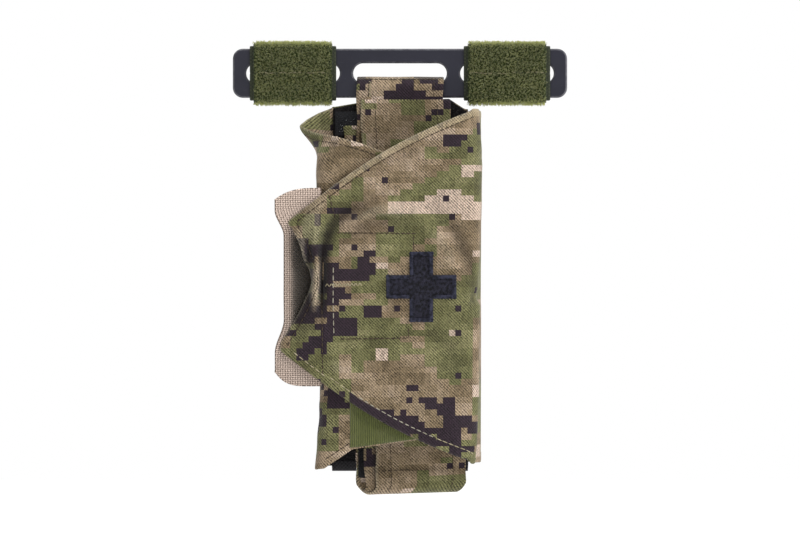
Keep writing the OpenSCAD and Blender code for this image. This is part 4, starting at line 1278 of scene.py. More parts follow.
def grab_surface(x, z):
    return grab_point(x, z, x - np.interp(-z, -left_column[:, 1], left_column[:, 0]))


paths = [below_line(outer_top, HEM + 0.3, SPLIT - 0.6, -47), waist_path(3.0, 0.05, 0.95),
         [(-34.6, -98.7), (-34.4, -108), (-34.3, -119), (-34.2, -135)]]
hem_path = below_line(outer_bottom, -LOW_HEM * 0.8, -49, SPLIT - 0.6)
for piece in (sew("GrabSeams", grab_surface, [(path, 2.5) for path in paths], 0.5, DARK_THREAD),
              sew("GrabHemSeam", grab_surface, [(hem_path, 2.8)], 0.5, TAN_THREAD, 0.8)):
    dress(piece, GRAB_BEND, "tan_thread")
declare_sheet(outer_flap, outer_cut)
declare_sheet(grab_edge, grab_cut, grab_grid)


# %% Stitches on the inner flap
def left_surface(x, z):
    return inner_point(-x, z)


mouth_x, foot_x = np.linspace(-60, 8, 90), np.linspace(-33, -20, 12)
mouth = np.stack([mouth_x, inner_top(-mouth_x) - 2.7], -1)
foot = np.stack([foot_x, np.interp(-foot_x, FOOT[:, 0], FOOT[:, 1]) + 3.2], -1)
dress(sew("InnerFlapSeams", left_surface, [(mouth, 2.4), (foot, 2.6)], 0.5, DARK_THREAD),
      wall_bend("inner_flap"), "tan_thread")
declare_sheet(inner_flap, inner_cut)


# %% Stitches on the straps
def strap_surface(grid, cut):
    """A strap's face as a function of its cut, read from its grid."""
    across, run = cut[:, 0, 0], cut[0, :, 1]

    def at(s, z):
        i = np.interp(s, across, np.arange(len(across)))
        j = np.interp(-z, -run, np.arange(len(run)))
        i0, j0 = np.clip(i.astype(int), 0, len(across) - 2), np.clip(j.astype(int), 0, len(run) - 2)
        fi, fj = (i - i0)[:, None], (j - j0)[:, None]
        return ((grid[i0, j0] * (1 - fi) + grid[i0 + 1, j0] * fi) * (1 - fj)
                + (grid[i0, j0 + 1] * (1 - fi) + grid[i0 + 1, j0 + 1] * fi) * fj)

    return at


def run_at(grid, cut, z):
    """Where on a strap's cut its front face passes a height."""
    column = grid[grid.shape[0] // 2]
    depth, height = -column[:, 1], column[:, 2]
    behind = depth <= (depth.max() + depth.min()) / 2
    return float(cut[0, int((np.abs(height - z) + 1000 * behind).argmin()), 1])


face = strap_surface(closure_grid, closure_cut)
low, high, fold_run = (run_at(closure_grid, closure_cut, z) for z in (-186, -14, -177.5))
sewn = [sew("ClosureSeams", face, [([(side, high), (side, low)], 2.6) for side in (-13.4, 14.3)],
            0.42, DARK_THREAD, lift=0.1),
        sew("ClosureFoldSeam", face, [([(-18, fold_run), (-5, fold_run + 0.2)], 2.4)], 0.35,
            DARK_THREAD, lift=0.1)]
face = strap_surface(hanger_grid, hanger_cut)
low, high = (run_at(hanger_grid, hanger_cut, z) for z in (-11, -3.6))
lines = [[(15.2, high), (15.2, low)], [(-14, high), (-14, low)],
         [(-16, high + 0.8), (16, high + 0.8)]]
sewn += [sew("HangerSeamsDark", face, [(line, 2.2) for line in lines], 0.42, DARK_THREAD, lift=0.1),
         sew("HangerTack", face, [([(-13.4, high), (-13.4, low)], 0.8, 1.2)], 0.36, TAN_THREAD,
             lift=0.1)]
for piece in sewn:
    dress(piece, "pouch", "tan_thread")
print("straps sewn")

# %% [markdown]
# ## Loop wraps
# Each wrap is loop tape sewn into a ring around the bar. The woven backing shows as a bare
# margin at both sides, and its ends meet in a seam at the middle of the front. The pile is
# thousands of small nylon loops. A node tree scatters one little arch for each over the tape, so
# the outline is fuzzy, as a bump map could never make it.

# %% The tree that plants tufts on a surface
def tufts_on_faces():
    tree, given, add = new_tree("tufts_on_faces", Density="Float", Spacing="Float",
                                Height="Float", Reach="Float", Thickness="Float", Tilt="Float",
                                Seed="Int", Material="Material")
    scattered = add("GeometryNodeDistributePointsOnFaces", {"distribute_method": "POISSON"},
                    Mesh=given["Geometry"], Distance_Min=given["Spacing"],
                    Density_Max=given["Density"], Seed=given["Seed"])
    # A fibre is an arch from its root, over its peak, down to twice its reach.
    peak = add("ShaderNodeCombineXYZ", i0=given["Reach"], i2=given["Height"])
    tip, over = (add("ShaderNodeVectorMath", {"operation": "MULTIPLY"}, i0=peak.outputs[0], i1=by)
                 for by in ((2.0, 0.0, 0.0), (1.0, 1.0, 2.0)))
    arch = add("GeometryNodeCurveQuadraticBezier", Resolution=4, Start=(0, 0, 0),
               Middle=over.outputs[0], End=tip.outputs[0])
    marked = add("GeometryNodeStoreNamedAttribute", {"data_type": "FLOAT"},
                 Geometry=arch.outputs[0], Name="along",
                 Value=add("GeometryNodeSplineParameter").outputs["Factor"])
    ring = add("GeometryNodeCurvePrimitiveCircle", Resolution=3, Radius=given["Thickness"])
    fibre = add("GeometryNodeCurveToMesh", Curve=marked.outputs[0],
                Profile_Curve=ring.outputs[0], Fill_Caps=False)
    # Every fibre is turned any way round, leant by up to the tilt, and scaled a little.
    back = add("ShaderNodeMath", {"operation": "MULTIPLY"}, i0=given["Tilt"], i1=-1.0).outputs[0]
    least, most = (add("ShaderNodeCombineXYZ", i0=lean, i1=lean, i2=turn).outputs[0]
                   for lean, turn in ((back, -math.pi), (given["Tilt"], math.pi)))
    turn = add("FunctionNodeRandomValue", {"data_type": "FLOAT_VECTOR"}, Min=least, Max=most,
               Seed=given["Seed"])
    spun = add("FunctionNodeRotateRotation", {"rotation_space": "LOCAL"},
               Rotation=scattered.outputs["Rotation"], Rotate_By=turn.outputs["Value"])
    size = add("FunctionNodeRandomValue", {"data_type": "FLOAT"}, i2=0.65, i3=1.2,
               Seed=given["Seed"])
    planted = add("GeometryNodeInstanceOnPoints", Points=scattered.outputs[0],
                  Instance=fibre.outputs[0], Rotation=spun.outputs[0], Scale=size.outputs[1])
    shade = add("FunctionNodeRandomValue", {"data_type": "FLOAT"}, i2=0.0, i3=1.0, Seed=77)
    toned = add("GeometryNodeStoreNamedAttribute", {"data_type": "FLOAT", "domain": "INSTANCE"},
                Geometry=planted.outputs[0], Name="tone", Value=shade.outputs[1])
    finish_tree(add, toned.outputs[0], given["Material"])
    return tree


TUFT_TREE = tufts_on_faces()


def tufts(name, faces_of, material, density, spacing, height, reach, thickness, lean, seed):
    made = grown(name, faces_of, TUFT_TREE, Density=density, Spacing=spacing * MM,
                 Height=height * MM, Reach=reach * MM, Thickness=thickness * MM, Tilt=lean,
                 Seed=seed, Material=material)
    print(name, len(made.data.polygons), "faces")
    return made


# %% Green loop pile finishes
def green_fibre(name, deep, light, tip):
    recipe = Recipe(name, roughness=0.75, specular=0.25, sheen=0.2)
    place = recipe.place()
    arch = recipe.wave(recipe.attribute("along"), math.pi)
    shade = recipe.mix(recipe.attribute("tone"), deep, light)
    shade = recipe.mix(recipe.maths("POWER", arch, 3.0) * 0.55, shade, tip)
    patches = recipe.spread(recipe.noise(place, 160, 2), 0.35, 0.7, 0.0, 0.35)
    shade = recipe.mix(patches, shade, deep)
    height = abs(recipe.split(place)[2])
    # Painted backlight: the pile that stands above and below the bar is paled, as fibre tips glow
    # with light from behind.
    rim = recipe.spread(height, (bar.top + 0.4) * MM, (bar.top + 2.9) * MM, 0.0, 0.8)
    return recipe.done(Base_Color=recipe.mix(rim, shade, colour(188, 192, 112)))


PILE = green_fibre("green_pile", colour(58, 70, 40), colour(124, 132, 84), colour(186, 186, 118))
PILE_BASE = pile_fabric("green_pile_base", colour(34, 42, 22), colour(66, 76, 40),
                        colour(96, 102, 60))
BACKING = plain_weave("green_backing", colour(38, 42, 34), colour(58, 62, 48), 0.8 * MM)

# %% The wraps
bar_half_depth, bar_centre = (bar.front - bar.back) / 2, (bar.back + bar.front) / 2


def ring_line(offset, step=0.7):
    """The section of a ring of tape round the bar, from the seam round and back to it."""
    corner = [(bar_half_depth + offset * math.cos(a), bar.top + offset * math.sin(a))
              for a in np.linspace(0, math.pi / 2, 9)]
    line = [(bar_half_depth + offset, -0.15)] + [(d, -z) for d, z in corner]
    line += [(-d, -z) for d, z in corner[::-1]] + [(-d, z) for d, z in corner]
    line += corner[::-1] + [(bar_half_depth + offset, 0.15)]
    return through(line, step, 1)


def tape_ring(name, offset, left, right, x_step, thickness, material, lumps=0.0, seed=0):
    section, at = ring_line(offset)
    x = np.linspace(left, right, int((right - left) / x_step) + 1)[:, None]
    d, z = section[None, :, 0], section[None, :, 1]
    grid = to_space(x + 0 * d, bar_centre + d + 0 * x, z + 0 * x)
    seam = np.exp(-(z / 0.8) ** 2) * (d > 0) * 2.4
    raised = lumps * (ripple(x, at[None, :], 2.2, seed) - seam)
    grid = grid + facing(grid)[2] * raised[..., None]
    cut = np.stack([x + 0 * d, -at[None, :] + 0 * x], -1)
    return sheet_mesh(name, grid, cut, thickness, [material])


def tape_face(name, offset, left, right, front):
    """The outward face of half a ring, open, for planting pile on."""
    section = ring_line(offset, 1.5)[0]
    if front:
        half = section[section[:, 0] > -0.8]
        runs = [half[half[:, 1] <= 0], half[half[:, 1] > 0]]
    else:
        half = section[section[:, 0] < 0.8]
        runs = [half[half[:, 1].argsort()]]
    points, faces = [], []
    for run in runs:
        start = len(points)
        points += [(x, -(bar_centre + d), z) for d, z in run for x in (left, right)]
        faces += [(start + 2 * i, start + 2 * i + 2, start + 2 * i + 3, start + 2 * i + 1)
                  for i in range(len(run) - 1)]
    points = np.array(points)
    a, b, c = points[list(faces[0][:3])]
    if np.dot(np.cross(b - a, c - b), (a + c) / 2 - (0, -bar_centre, 0)) < 0:
        faces = [face[::-1] for face in faces]
    return mesh_piece(name, points, faces, [PILE_BASE])


wrap_box = box("left_loop_wrap")
BACKING_THICK, MARGIN = 1.2, 1.7
PILE_DEPTH = wrap_box.top - bar.top - BACKING_THICK
for side, node in (("Left", "left_loop_wrap"), ("Right", "right_loop_wrap")):
    wrap = box(node)
    left, right = wrap.left + MARGIN, wrap.right - MARGIN
    backing = tape_ring(side + "WrapBacking", BACKING_THICK, wrap.left, wrap.right, 1.0,
                        BACKING_THICK - 0.1, BACKING)
    base = tape_ring(side + "WrapPileBase", BACKING_THICK + 1.0, left, right, 0.7, 0.95,
                     PILE_BASE, 0.14, 5)
    dress(backing, "bar", "green_loop_pile")
    dress(base, "bar", "green_loop_pile", node)
    for face, density, spacing in (("Front", 9e6, 0.33), ("Rear", 4e6, 0.48)):
        seeded = tape_face(side + face + "_seed", BACKING_THICK + 0.85, left + 0.3, right - 0.3,
                           face == "Front")
        pile = tufts(side + "WrapPile" + face, seeded, PILE, density, spacing, height=1.5,
                     reach=0.4, thickness=0.085, lean=0.55, seed=11 if side == "Left" else 23)
        dress(pile, "bar", "green_loop_pile")
    draw = np.random.default_rng(len(side))
    points = [np.array([x, 0.65 - wrap.front, draw.uniform(-0.45, 0.45)])
              for x in np.arange(wrap.left + 2, wrap.right - 2, 2.1)]
    segments = [pair for pair in zip(points[:-1], points[1:]) if draw.uniform() < 0.8]
    dress(threads(side + "WrapSeam", segments, 0.34, TAN_THREAD, 0.85), "bar", "green_loop_pile")
print("pile", round(PILE_DEPTH, 2), "mm deep")

# %% [markdown]
# ## The bar's finish
# The bar is blasted and anodised a blue-black. The finish reads which way a face looks, in the
# object's own space. It pales the chamfered slopes, where edges get worn and as a painted
# highlight, and pales the faces that look neither forward nor back, as a painted reflection of
# the pale floor.

# %% Anodised bar
def anodised():
    recipe = Recipe("blue_black_anodised", roughness=0.5, specular=0.22)
    place = recipe.place()
    cloudy = recipe.noise(recipe.mapping(place, scale=(0.5, 1, 1)), 55, 3)
    shade = recipe.mix(recipe.spread(cloudy, 0.3, 0.7), colour(29, 29, 39), colour(38, 38, 49))
    forward = abs(recipe.split(recipe.node("TexCoord", output="Normal"))[1])
    sloping = (forward > 0.3) * (forward < 0.93)
    chamfer_worn_and_painted_highlight = recipe.spread(recipe.noise(place, 420, 3, 0.7), 0.35, 0.65, 0.25, 1.0)
    # Chamfered slopes paled: worn edges and a painted highlight.
    shade = recipe.mix(sloping * chamfer_worn_and_painted_highlight, shade, colour(96, 96, 102))
    # Painted reflection of the pale floor on the faces that look neither forward nor back.
    shade = recipe.mix((forward < 0.3) * 0.6, shade, colour(92, 92, 98))
    scuffs = recipe.noise(recipe.mapping(place, turn=20, scale=(1, 0.1, 9)), 240, 3)
    shade = recipe.mix(recipe.spread(scuffs, 0.68, 0.74, 0.0, 0.12), shade, colour(96, 96, 104))
    return recipe.done(Base_Color=shade, Roughness=recipe.spread(cloudy, 0.3, 0.7, 0.36, 0.5),
                       Normal=recipe.bump(recipe.noise(place, 3200, 2), 0.02 * MM))


def refinish(node, material):
    """Gives a CAD node a better material in each of its slots."""
    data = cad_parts[node].data
    if not data.materials:
        data.materials.append(material)
    for i in range(len(data.materials)):
        data.materials[i] = material


refinish("hanger_bar", anodised())
print("bar finished")

# %% [markdown]
# ## The green loop panel and the hook fields
# The inner flap carries a panel of short loop fabric with fine ribs running down it. The outer
# flap's hook field closes on it. Hook tape is a flat base set with tiny plastic hooks, and the
# tuft tree scatters those too, more upright and further apart than the pile.

# %% Ribbed loop panel
RIB = 0.95


def ribbed(name):
    recipe = Recipe(name, roughness=0.9, specular=0.2, sheen=0.3)
    uv = recipe.uv()
    rib = recipe.wave(recipe.split(uv)[0], 2 * math.pi / (RIB * MM))
    curls = recipe.noise(recipe.mapping(uv, scale=(1, 0.45, 1)), 1700, 2)
    shade = recipe.mix(recipe.spread(rib, -1, 1), colour(58, 64, 26), colour(110, 115, 62))
    shade = recipe.mix(recipe.spread(curls, 0.35, 0.7), shade, colour(86, 93, 46))
    dust = recipe.spread(recipe.noise(uv, 110, 2), 0.4, 0.7, 0.0, 0.4)
    return recipe.done(Base_Color=recipe.mix(dust, shade, colour(110, 112, 76)),
                       Normal=recipe.bump(rib + curls, 0.18 * MM))


loop = box("inner_flap_loop_field")
x = np.linspace(loop.left, loop.right, 110)
low = np.interp(x, [loop.left, -20, loop.right], [-166.8, -166.8, loop.bottom + 4.0])
z = loop.top + (low - loop.top)[:, None] * np.linspace(0, 1, 110)[None, :]
x2 = np.broadcast_to(x[:, None], z.shape)
edge = np.minimum(np.minimum(x2 - loop.left, loop.right - x2),
                  np.minimum(loop.top - z, z - low[:, None]))
face = loop.front + 0.10 * np.cos(x2 * 2 * math.pi / RIB) - 0.35 * np.exp(-(edge / 0.6) ** 2)
face = face + smooth((outer_bottom(x2) - z + 2) / 5) * (0.35 + 0.3 * ripple(x2, z, 11, 31))
loop_panel = sheet_mesh("GreenLoopPanel", to_space(x2, face, z), np.stack([x2, z], -1), 0.8,
                        [ribbed("green_loop_panel")])
dress(loop_panel, "inner_flap", "green_loop_pile", "inner_flap_loop_field")
print("loop panel", round(loop.right - loop.left, 1), "mm wide")


# %% Hook fields
HOOK_LENGTH = 0.35


def hook_field(name, node, body, face_back, finish, spacing):
    field = box(node)
    way = -1 if face_back else 1
    x, z = np.meshgrid(np.linspace(field.left, field.right, 30)[::way],
                       np.linspace(field.top, field.bottom, 50), indexing="ij")
    face = (field.back + HOOK_LENGTH) if face_back else (field.front - HOOK_LENGTH)
    base = sheet_mesh(name, to_space(x, face + 0.05 * ripple(x, z, 9, 3), z),
                      np.stack([x, z], -1), field.front - field.back - HOOK_LENGTH, [HOOK_TAPE])
    left, right, low, high = field.left + 1, field.right - 1, field.bottom + 1, field.top - 1
    corners = np.array([(left, high), (left, low), (right, low), (right, high)][::way])
    grown_on = mesh_piece(name + "_seed", to_space(corners[:, 0], [face] * 4, corners[:, 1]),
                          [(0, 1, 2, 3)], [HOOK_TAPE])
    hooks = tufts(name + "Hooks", grown_on, finish, 1.6e6, spacing, height=0.5, reach=0.16,
                  thickness=0.09, lean=0.12, seed=5)
    dress(base, body, "black_hook_tape", node)
    dress(hooks, body, "black_hook_tape")


hook_field("OuterHookField", "outer_flap_hook_field", "outer_flap", True, HOOKS, 0.72)
hook_field("TailHookPatch", "tail_hook_patch", "strap_tail", False, HOOKS, 0.72)
hook_field("LiningHookStrip", "lining_hook_strip", "pouch", False, HOOKS_PAINTED_GLINTS, 0.6)

# %% [markdown]
# ## The cross patch
# A plain black cross is embroidered on its own backing and sewn to the flap: a general first-aid
# mark, not a maker's. The body is a low relief that follows the flap's folds. A satin border of
# threads laid square to the outline covers its edge, and rows of threads fill the middle.

# %% Cross patch
EMBROIDERY = thread("black_embroidery", colour(7, 7, 12), colour(44, 43, 56))
EMBROIDERY_LIGHT = thread("embroidery_border", colour(16, 17, 26), colour(56, 57, 74))
patch = box("cross_patch")
cross_x, cross_z = (patch.left + patch.right) / 2, (patch.top + patch.bottom) / 2
SPAN, ARM, BORDER = (patch.right - patch.left) / 2, 5.2, 1.8
SATIN_STEP, FILL_STEP = 0.46, 0.62
marks_1d = np.concatenate([np.linspace(-SPAN, -ARM, 26)[:-1], np.linspace(-ARM, ARM, 27)[:-1],
                           np.linspace(ARM, SPAN, 26)])


def cross_gap(x, z):
    """Distance inside the cross's outline, negative outside."""
    arm = lambda a, b: np.minimum(SPAN - np.abs(a), ARM - np.abs(b))
    inside = np.maximum(arm(x, z), arm(z, x))
    notch = np.hypot(np.maximum(ARM - np.abs(x), 0), np.maximum(ARM - np.abs(z), 0))
    both = (np.abs(x) < ARM) & (np.abs(z) < ARM)
    return np.where(both, np.maximum(inside, notch), inside)


def patch_face(x, z, height):
    """A point of the patch, standing off the flap by height."""
    point = outer_point(cross_x + x, cross_z + z)
    return point - np.stack([0 * x, height + 0 * x, 0 * x], -1)


px, pz = np.meshgrid(marks_1d, marks_1d[::-1], indexing="ij")
gap = cross_gap(px, pz)
groove = np.exp(-((gap - BORDER - 0.25) / 0.3) ** 2)
height = 0.72 * smooth(gap / 0.5) + 0.12 - 0.3 * groove
top_face, under = patch_face(px, pz, height), patch_face(px, pz, -0.5)
n = len(marks_1d)
ids = np.arange(n * n).reshape(n, n)
mid_x = (np.abs(px[:-1, :-1] + px[1:, 1:]) / 2)
mid_z = (np.abs(pz[:-1, :-1] + pz[1:, 1:]) / 2)
kept = (mid_x < ARM) | (mid_z < ARM)
quads = np.stack([ids[:-1, :-1], ids[:-1, 1:], ids[1:, 1:], ids[1:, :-1]], -1)[kept]
sides = {}
for quad in quads.tolist():
    for a, b in zip(quad, quad[1:] + quad[:1]):
        if (b, a) in sides:
            del sides[(b, a)]
        else:
            sides[(a, b)] = True
walls = [(b, a, a + n * n, b + n * n) for a, b in sides]
faces = quads.tolist() + (quads[:, ::-1] + n * n).tolist() + walls
used = np.unique(np.array([i for face in faces for i in face]))
renumber = {int(old): new for new, old in enumerate(used)}
all_points = np.concatenate([top_face.reshape(-1, 3), under.reshape(-1, 3)])
flat_cut = np.stack([px, pz], -1).reshape(-1, 2)
cross = mesh_piece("CrossPatch", all_points[used],
                   [[renumber[i] for i in face] for face in faces], [EMBROIDERY],
                   np.concatenate([flat_cut, flat_cut])[used])
dress(cross, "outer_flap", "black_embroidery", "cross_patch")

corner_points = [(ARM, SPAN), (ARM, ARM), (SPAN, ARM), (SPAN, -ARM), (ARM, -ARM), (ARM, -SPAN),
                 (-ARM, -SPAN), (-ARM, -ARM), (-SPAN, -ARM), (-SPAN, ARM), (-ARM, ARM),
                 (-ARM, SPAN)]
segments = []
for (x0, z0), (x1, z1) in zip(corner_points, corner_points[1:] + corner_points[:1]):
    run = math.hypot(x1 - x0, z1 - z0)
    ahead, inward = np.array([x1 - x0, z1 - z0]) / run, np.array([-(z1 - z0), x1 - x0]) / -run
    for t in np.arange(0.2, run, SATIN_STEP):
        foot_at = np.array([x0, z0]) + ahead * t
        a, b = foot_at - inward * 0.15, foot_at + inward * BORDER
        segments.append((patch_face(*a, 0.95), patch_face(*b, 1.15)))
border = threads("CrossBorder", segments, 0.62, EMBROIDERY_LIGHT, 1.0)
draw = np.random.default_rng(12)
segments = []
for x0 in np.arange(-SPAN + BORDER, SPAN - BORDER, FILL_STEP):
    reach = (SPAN if abs(x0) < ARM - BORDER else ARM) - BORDER
    z0 = -reach - draw.uniform(0, 2)
    while z0 < reach:
        z1 = z0 + draw.uniform(2.2, 3.4)
        low_z, high_z = max(z0, -reach), min(z1, reach)
        if high_z - low_z > 0.6:
            segments.append((patch_face(x0, low_z, 0.84), patch_face(x0 + 0.12, high_z, 0.84)))
        z0 = z1
fill = threads("CrossFill", segments, 0.55, EMBROIDERY, 1.05)
for piece in (border, fill):
    dress(piece, "outer_flap", "black_embroidery")

# %% [markdown]
# ## The grab handle
# A loop of coarse tan webbing is sewn behind the grab edge by its two ends. Between them it
# creases along its length, draws in from the left and turns its face to the right, so it looks
# narrower there. Its weave is so open that single yarns show, and the finish draws each
# over-and-under crossing.

# %% Coarse webbing finish
def basket(name, low, high, across, along):
    recipe = Recipe(name, roughness=0.7, specular=0.3, sheen=0.2)
    uv = recipe.uv()
    waves = [recipe.wave(axis, math.pi / (pitch * MM))
             for axis, pitch in zip(recipe.split(uv), (across, along))]
    height = recipe.node("Mix", {"data_type": "FLOAT"}, i0=waves[0] * waves[1] > 0.0,
                         i2=abs(waves[0]), i3=abs(waves[1]))
    shade = recipe.mix(recipe.spread(height, 0.25, 0.95), low, high)
    shade = recipe.mix(recipe.spread(recipe.noise(uv, 2200, 1), 0.3, 0.7, 0.0, 0.3), shade, low)
    dust = recipe.spread(recipe.noise(uv, 70, 2), 0.35, 0.7, 0.0, 0.25)
    shade = recipe.mix(dust, shade, colour(176, 156, 140))
    # Painted shade: the deep mark darkens the webbing where it turns in behind the grab edge and
    # towards its lower end.
    shade = recipe.mix(recipe.attribute("deep") * 0.86, shade, colour(44, 42, 32))
    return recipe.done(Base_Color=shade, Normal=recipe.bump(height, 0.3 * MM))


HANDLE_WEBBING = basket("tan_webbing", colour(112, 94, 82), colour(252, 228, 212), 1.1, 0.85)

# %% Grab handle mesh
handle = box("grab_handle")
HANDLE_WIDE = handle.right - handle.left + 3.4
handle_depth = handle.front - THICK / 2
share = np.linspace(0, 1, 150)
handle_tall = handle.top - handle.bottom
from_top, from_low = share * handle_tall, (1 - share) * handle_tall
left_edge = handle.left + 4.0 * np.minimum(smooth((from_top - 5) / 13), smooth((from_low - 9) / 17))
creased = np.minimum(smooth((from_top - 9) / 14), smooth((from_low - 11) / 16))
CREASE_AT, CREASE_TURN = 2.9, math.radians(50)
a = np.linspace(0, HANDLE_WIDE, 46)
A, V = np.meshgrid(a, share, indexing="ij")
turned = CREASE_TURN * creased[None] * smooth((A - CREASE_AT + 1.1) / 2.2)
step_a = np.gradient(a)[:, None]
hx = left_edge[None] + np.cumsum(np.cos(turned) * step_a, 0) - step_a
hd = (handle_depth + THICK / 2 - 1.6 * creased[None] - np.cumsum(np.sin(turned) * step_a, 0)
      + 0.16 * ripple(A, V * 80, 9, 4))
q = A / HANDLE_WIDE
top_end = handle.top - 0.6 - 4.9 * (1 - q) ** 3.2
low_end = handle.bottom - 0.5 + 6.0 * (1 - q) ** 5
hz = top_end + (low_end - top_end) * V
grid = to_space(hx, hd, hz)
cut = np.stack([A, hz], -1)
in_shade = creased[None] * (0.3 + 0.7 * smooth((A - 0.4) / 6)) + 0.22 * smooth((V - 0.6) / 0.2)
handle_piece = sheet_mesh("GrabHandle", grid, cut, THICK, [HANDLE_WEBBING], {"deep": in_shade})
dress(handle_piece, "grab_edge", "tan_webbing", "grab_handle")
tack = box("handle_bartacks")
tack_y = -(handle_depth - THICK / 2 - 0.25)
segments = [((x, tack_y, z - 1.1), (x + 0.25, tack_y, z + 1.1))
            for z in (tack.top - 1, tack.bottom + 1) for x in np.arange(tack.left, tack.right, 0.5)]
dress(threads("HandleBartacks", segments, 0.55, TAN_THREAD, 1.0), "grab_edge", "tan_thread",
      "handle_bartacks")
print("handle folds back to depth", round(float(hd.min()), 1), "mm")

# %% [markdown]
# ## The tourniquet inside
# A webbing tourniquet lies folded in the pouch: a wide loop of black band, its spare length
# folded to and fro inside it, and a narrower strap in front that carries a plate, a buckle, a
# winding rod in its clip, and a white strap to write the time on. The plate, the buckle and the
# clip keep the CAD's shapes and take a moulded finish. The rod and all the webbing are modelled.

# %% Webbing, label strap and plastic finishes
def webbing(name, low, high, pitch=1.5):
    """Herringbone webbing: slanted ribs that change side along the strap's length."""
    recipe = Recipe(name, roughness=0.75, specular=0.2, sheen=0.06)
    uv = recipe.uv()
    across, along = recipe.split(uv)[:2]
    slant = recipe.maths("PINGPONG", across, 2.6 * MM) + along
    rib = recipe.wave(slant, 2 * math.pi / (pitch * MM))
    yarn = recipe.noise(recipe.mapping(uv, scale=(1, 0.3, 1)), 1500, 2)
    shade = recipe.mix(recipe.spread(rib, -1, 1), low, high)
    shade = recipe.mix(recipe.spread(yarn, 0.3, 0.7, 0.0, 0.5), shade, low)
    return recipe.done(Base_Color=shade, Normal=recipe.bump(rib + yarn, 0.12 * MM))


def moulded(name, low, high):
    """Moulded nylon: fine sparks from the mould, faint flow marks and paler worn spots."""
    recipe = Recipe(name, roughness=0.45, specular=0.35)
    place = recipe.place()
    flow = recipe.noise(recipe.mapping(place, scale=(1, 1, 0.3)), 90, 3)
    shade = recipe.mix(recipe.spread(flow, 0.3, 0.7), low, high)
    worn = recipe.spread(recipe.noise(place, 330, 4, 0.7), 0.62, 0.74, 0.0, 0.35)
    return recipe.done(Base_Color=recipe.mix(worn, shade, colour(86, 86, 90)),
                       Normal=recipe.bump(recipe.noise(place, 2600, 2), 0.03 * MM),
                       Roughness=recipe.spread(flow, 0.3, 0.7, 0.38, 0.55))


BLACK_WEB = webbing("black_band", colour(18, 18, 20), colour(46, 46, 50))
WHITE_WEB = webbing("white_label_strap", colour(186, 184, 176), colour(226, 225, 220), 1.1)
PLASTIC = moulded("moulded_black", colour(24, 24, 26), colour(38, 38, 41))
for node in ("base_plate", "friction_buckle", "windlass_clip"):
    refinish(node, PLASTIC)
print("tourniquet finishes ready")

# %% The band's loop and its folds
loop_box, pad_box = box("band_loop"), box("band_folds")
edge_r, half_t = 2.6, THICK / 2
front_d, rear_d = loop_box.front - half_t, loop_box.back + half_t
high_z, low_z = loop_box.top - half_t, loop_box.bottom + half_t
middle_z = (high_z + low_z) / 2


def turned(d, z, start, angles, radius):
    return [(0, d + radius * math.cos(start + a), z + radius * math.sin(start + a))
            for a in angles]


quarter_turn = np.linspace(0, math.pi / 2, 6)
path = [(0, front_d, middle_z - 0.05), (0, front_d, low_z + edge_r)]
path += turned(front_d - edge_r, low_z + edge_r, 0, -quarter_turn, edge_r)
path += turned(rear_d + edge_r, low_z + edge_r, -math.pi / 2, -quarter_turn, edge_r)
path += [(0, rear_d, middle_z)]
path += turned(rear_d + edge_r, high_z - edge_r, math.pi, -quarter_turn, edge_r)
path += turned(front_d - edge_r, high_z - edge_r, math.pi / 2, -quarter_turn, edge_r)
path += [(0, front_d, middle_z + 0.05)]
grid, cut = strap_grid(path, loop_box.right - loop_box.left, THICK, step=1.4, rounds=1, wave=0.05,
                       seed=12)
dress(sheet_mesh("BandLoop", grid, cut, THICK, [BLACK_WEB]), "tourniquet", "black_band",
      "band_loop")

LAYERS = 3
layer_pitch = (pad_box.front - pad_box.back - THICK) / (LAYERS - 1)
turn_r = layer_pitch / 2
depths = [pad_box.back + half_t + i * layer_pitch for i in range(LAYERS)]
top_z, bottom_z = pad_box.top - turn_r - half_t, pad_box.bottom + turn_r + half_t
path = [(0, depths[0], bottom_z)]
for i in range(LAYERS - 1):
    up = i % 2 == 0
    path += turned(depths[i] + turn_r, top_z if up else bottom_z, 0,
                   np.linspace(math.pi, 0 if up else 2 * math.pi, 7), turn_r)
path += [(0, depths[-1], top_z)]
grid, cut = strap_grid(path, pad_box.right - pad_box.left, THICK - 0.1, step=1.6, rounds=1)
dress(sheet_mesh("BandFolds", grid, cut, THICK - 0.1, [BLACK_WEB]), "tourniquet", "black_band",
      "band_folds")
print("spare band", round(float(-cut[..., 1].min())), "mm long")

# %% The inner strap, the label strap and their stitches
strip = box("inner_strap")
strip_t = strip.front - strip.back
grid, cut = strap_grid([(0, strip.back + strip_t / 2, z)
                        for z in (strip.top, 0.5 * (strip.top + strip.bottom), strip.bottom)],
                       strip.right - strip.left, strip_t, step=1.6)
dress(sheet_mesh("InnerStrap", grid, cut, strip_t, [BLACK_WEB]), "tourniquet", "black_band",
      "inner_strap")
strip_face = strap_surface(grid, cut)

label, clip, plate = box("time_strap"), box("windlass_clip"), box("base_plate")
outline_x = [label.left, label.left + 1.6, clip.left - 1.2, clip.left - 0.3, 0,
             clip.right + 0.3, clip.right + 1.2, label.right - 1.6, label.right]
outline_d = [plate.front + 0.35, plate.front + 0.5, label.front - 1.6, label.front - 0.5,
             label.front - 0.4, label.front - 0.5, label.front - 1.6, plate.front + 0.5,
             plate.front + 0.35]
line, at = through(list(zip(outline_x, outline_d)), 0.6, 3)
z_line = np.linspace(label.top, label.bottom, 30)
sag = 0.12 * ripple(line[:, 0][:, None], z_line[None, :], 8, 2)
grid = to_space(line[:, 0][:, None] + 0 * sag, line[:, 1][:, None] + sag * 0.5 - 0.1,
                z_line[None, :] + 0 * sag)
cut = np.stack([at[:, None] + 0 * sag, z_line[None, :] + 0 * sag], -1)
dress(sheet_mesh("TimeStrap", grid, cut, 0.9, [WHITE_WEB]), "tourniquet", "white_strap",
      "time_strap")
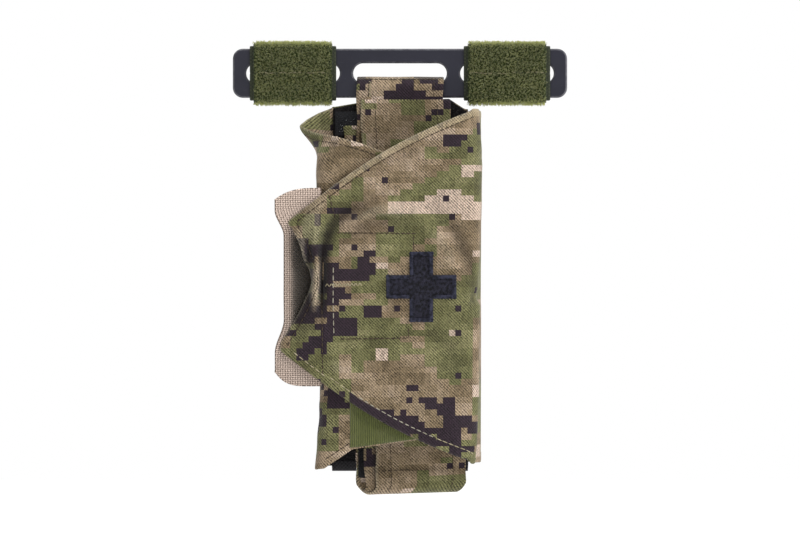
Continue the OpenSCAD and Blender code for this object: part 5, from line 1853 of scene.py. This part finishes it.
sides = [([(side, -6), (side, -58)], 2.4) for side in (-10.6, 10.6)]
dress(sew("InnerStrapSeams", strip_face, sides, 0.4, HOOKS, 0.85, 0.1),
      "tourniquet", "tan_thread")
print("label strap", round(float(at[-1])), "mm round the rod")

# %% The winding rod, turned with shallow flutes
FLUTES, FLUTE_DEPTH, WAIST_SHARE = 10, 0.28, 0.10
rod = box("windlass_rod")
rod_r, rod_depth = (rod.right - rod.left) / 2, (rod.back + rod.front) / 2
rod_mid = (rod.top + rod.bottom) / 2
half_rod = (rod.top - rod.bottom) / 2
from_tip = np.concatenate([[0, 0.15, 0.5, 1.0, 1.6, 2.4], np.linspace(3.2, half_rod, 34)])
waisted = 1 - WAIST_SHARE * np.exp(-((from_tip - half_rod) / 7) ** 2)
radius = rod_r * np.sqrt(1 - np.clip(1 - from_tip / 3.0, 0, 1) ** 2 * 0.92) * waisted
profile_z = np.concatenate([rod.top - from_tip, (rod.bottom + from_tip)[::-1][1:]])
profile_r = np.concatenate([radius, radius[::-1][1:]])
angles = np.linspace(0, 2 * math.pi, 73)[:-1]
flute = FLUTE_DEPTH * smooth((half_rod - 6 - np.abs(profile_z - rod_mid)) / 4)
ring_r = profile_r[:, None] - flute[:, None] * (0.5 + 0.5 * np.cos(FLUTES * angles))[None]
points = np.stack([ring_r * np.cos(angles), -rod_depth + ring_r * np.sin(angles),
                   np.broadcast_to(profile_z[:, None], ring_r.shape)], -1)
n, m = ring_r.shape
ids = np.arange(n * m).reshape(n, m)
faces = np.stack([ids[:-1], ids[1:], np.roll(ids[1:], -1, 1), np.roll(ids[:-1], -1, 1)], -1)
faces = faces.reshape(-1, 4).tolist()
caps = np.array([[0, -rod_depth, rod.top], [0, -rod_depth, rod.bottom]])
faces += [(n * m, ids[0, i], ids[0, (i + 1) % m]) for i in range(m)]
faces += [(n * m + 1, ids[-1, (i + 1) % m], ids[-1, i]) for i in range(m)]
rod_piece = mesh_piece("WindlassRod", np.concatenate([points.reshape(-1, 3), caps]), faces,
                       [PLASTIC])
dress(rod_piece, "tourniquet", "black_plastic", "windlass_rod")
print("rod", round(2 * half_rod), "mm long")

# %% Update the view layer
bpy.context.view_layer.update()
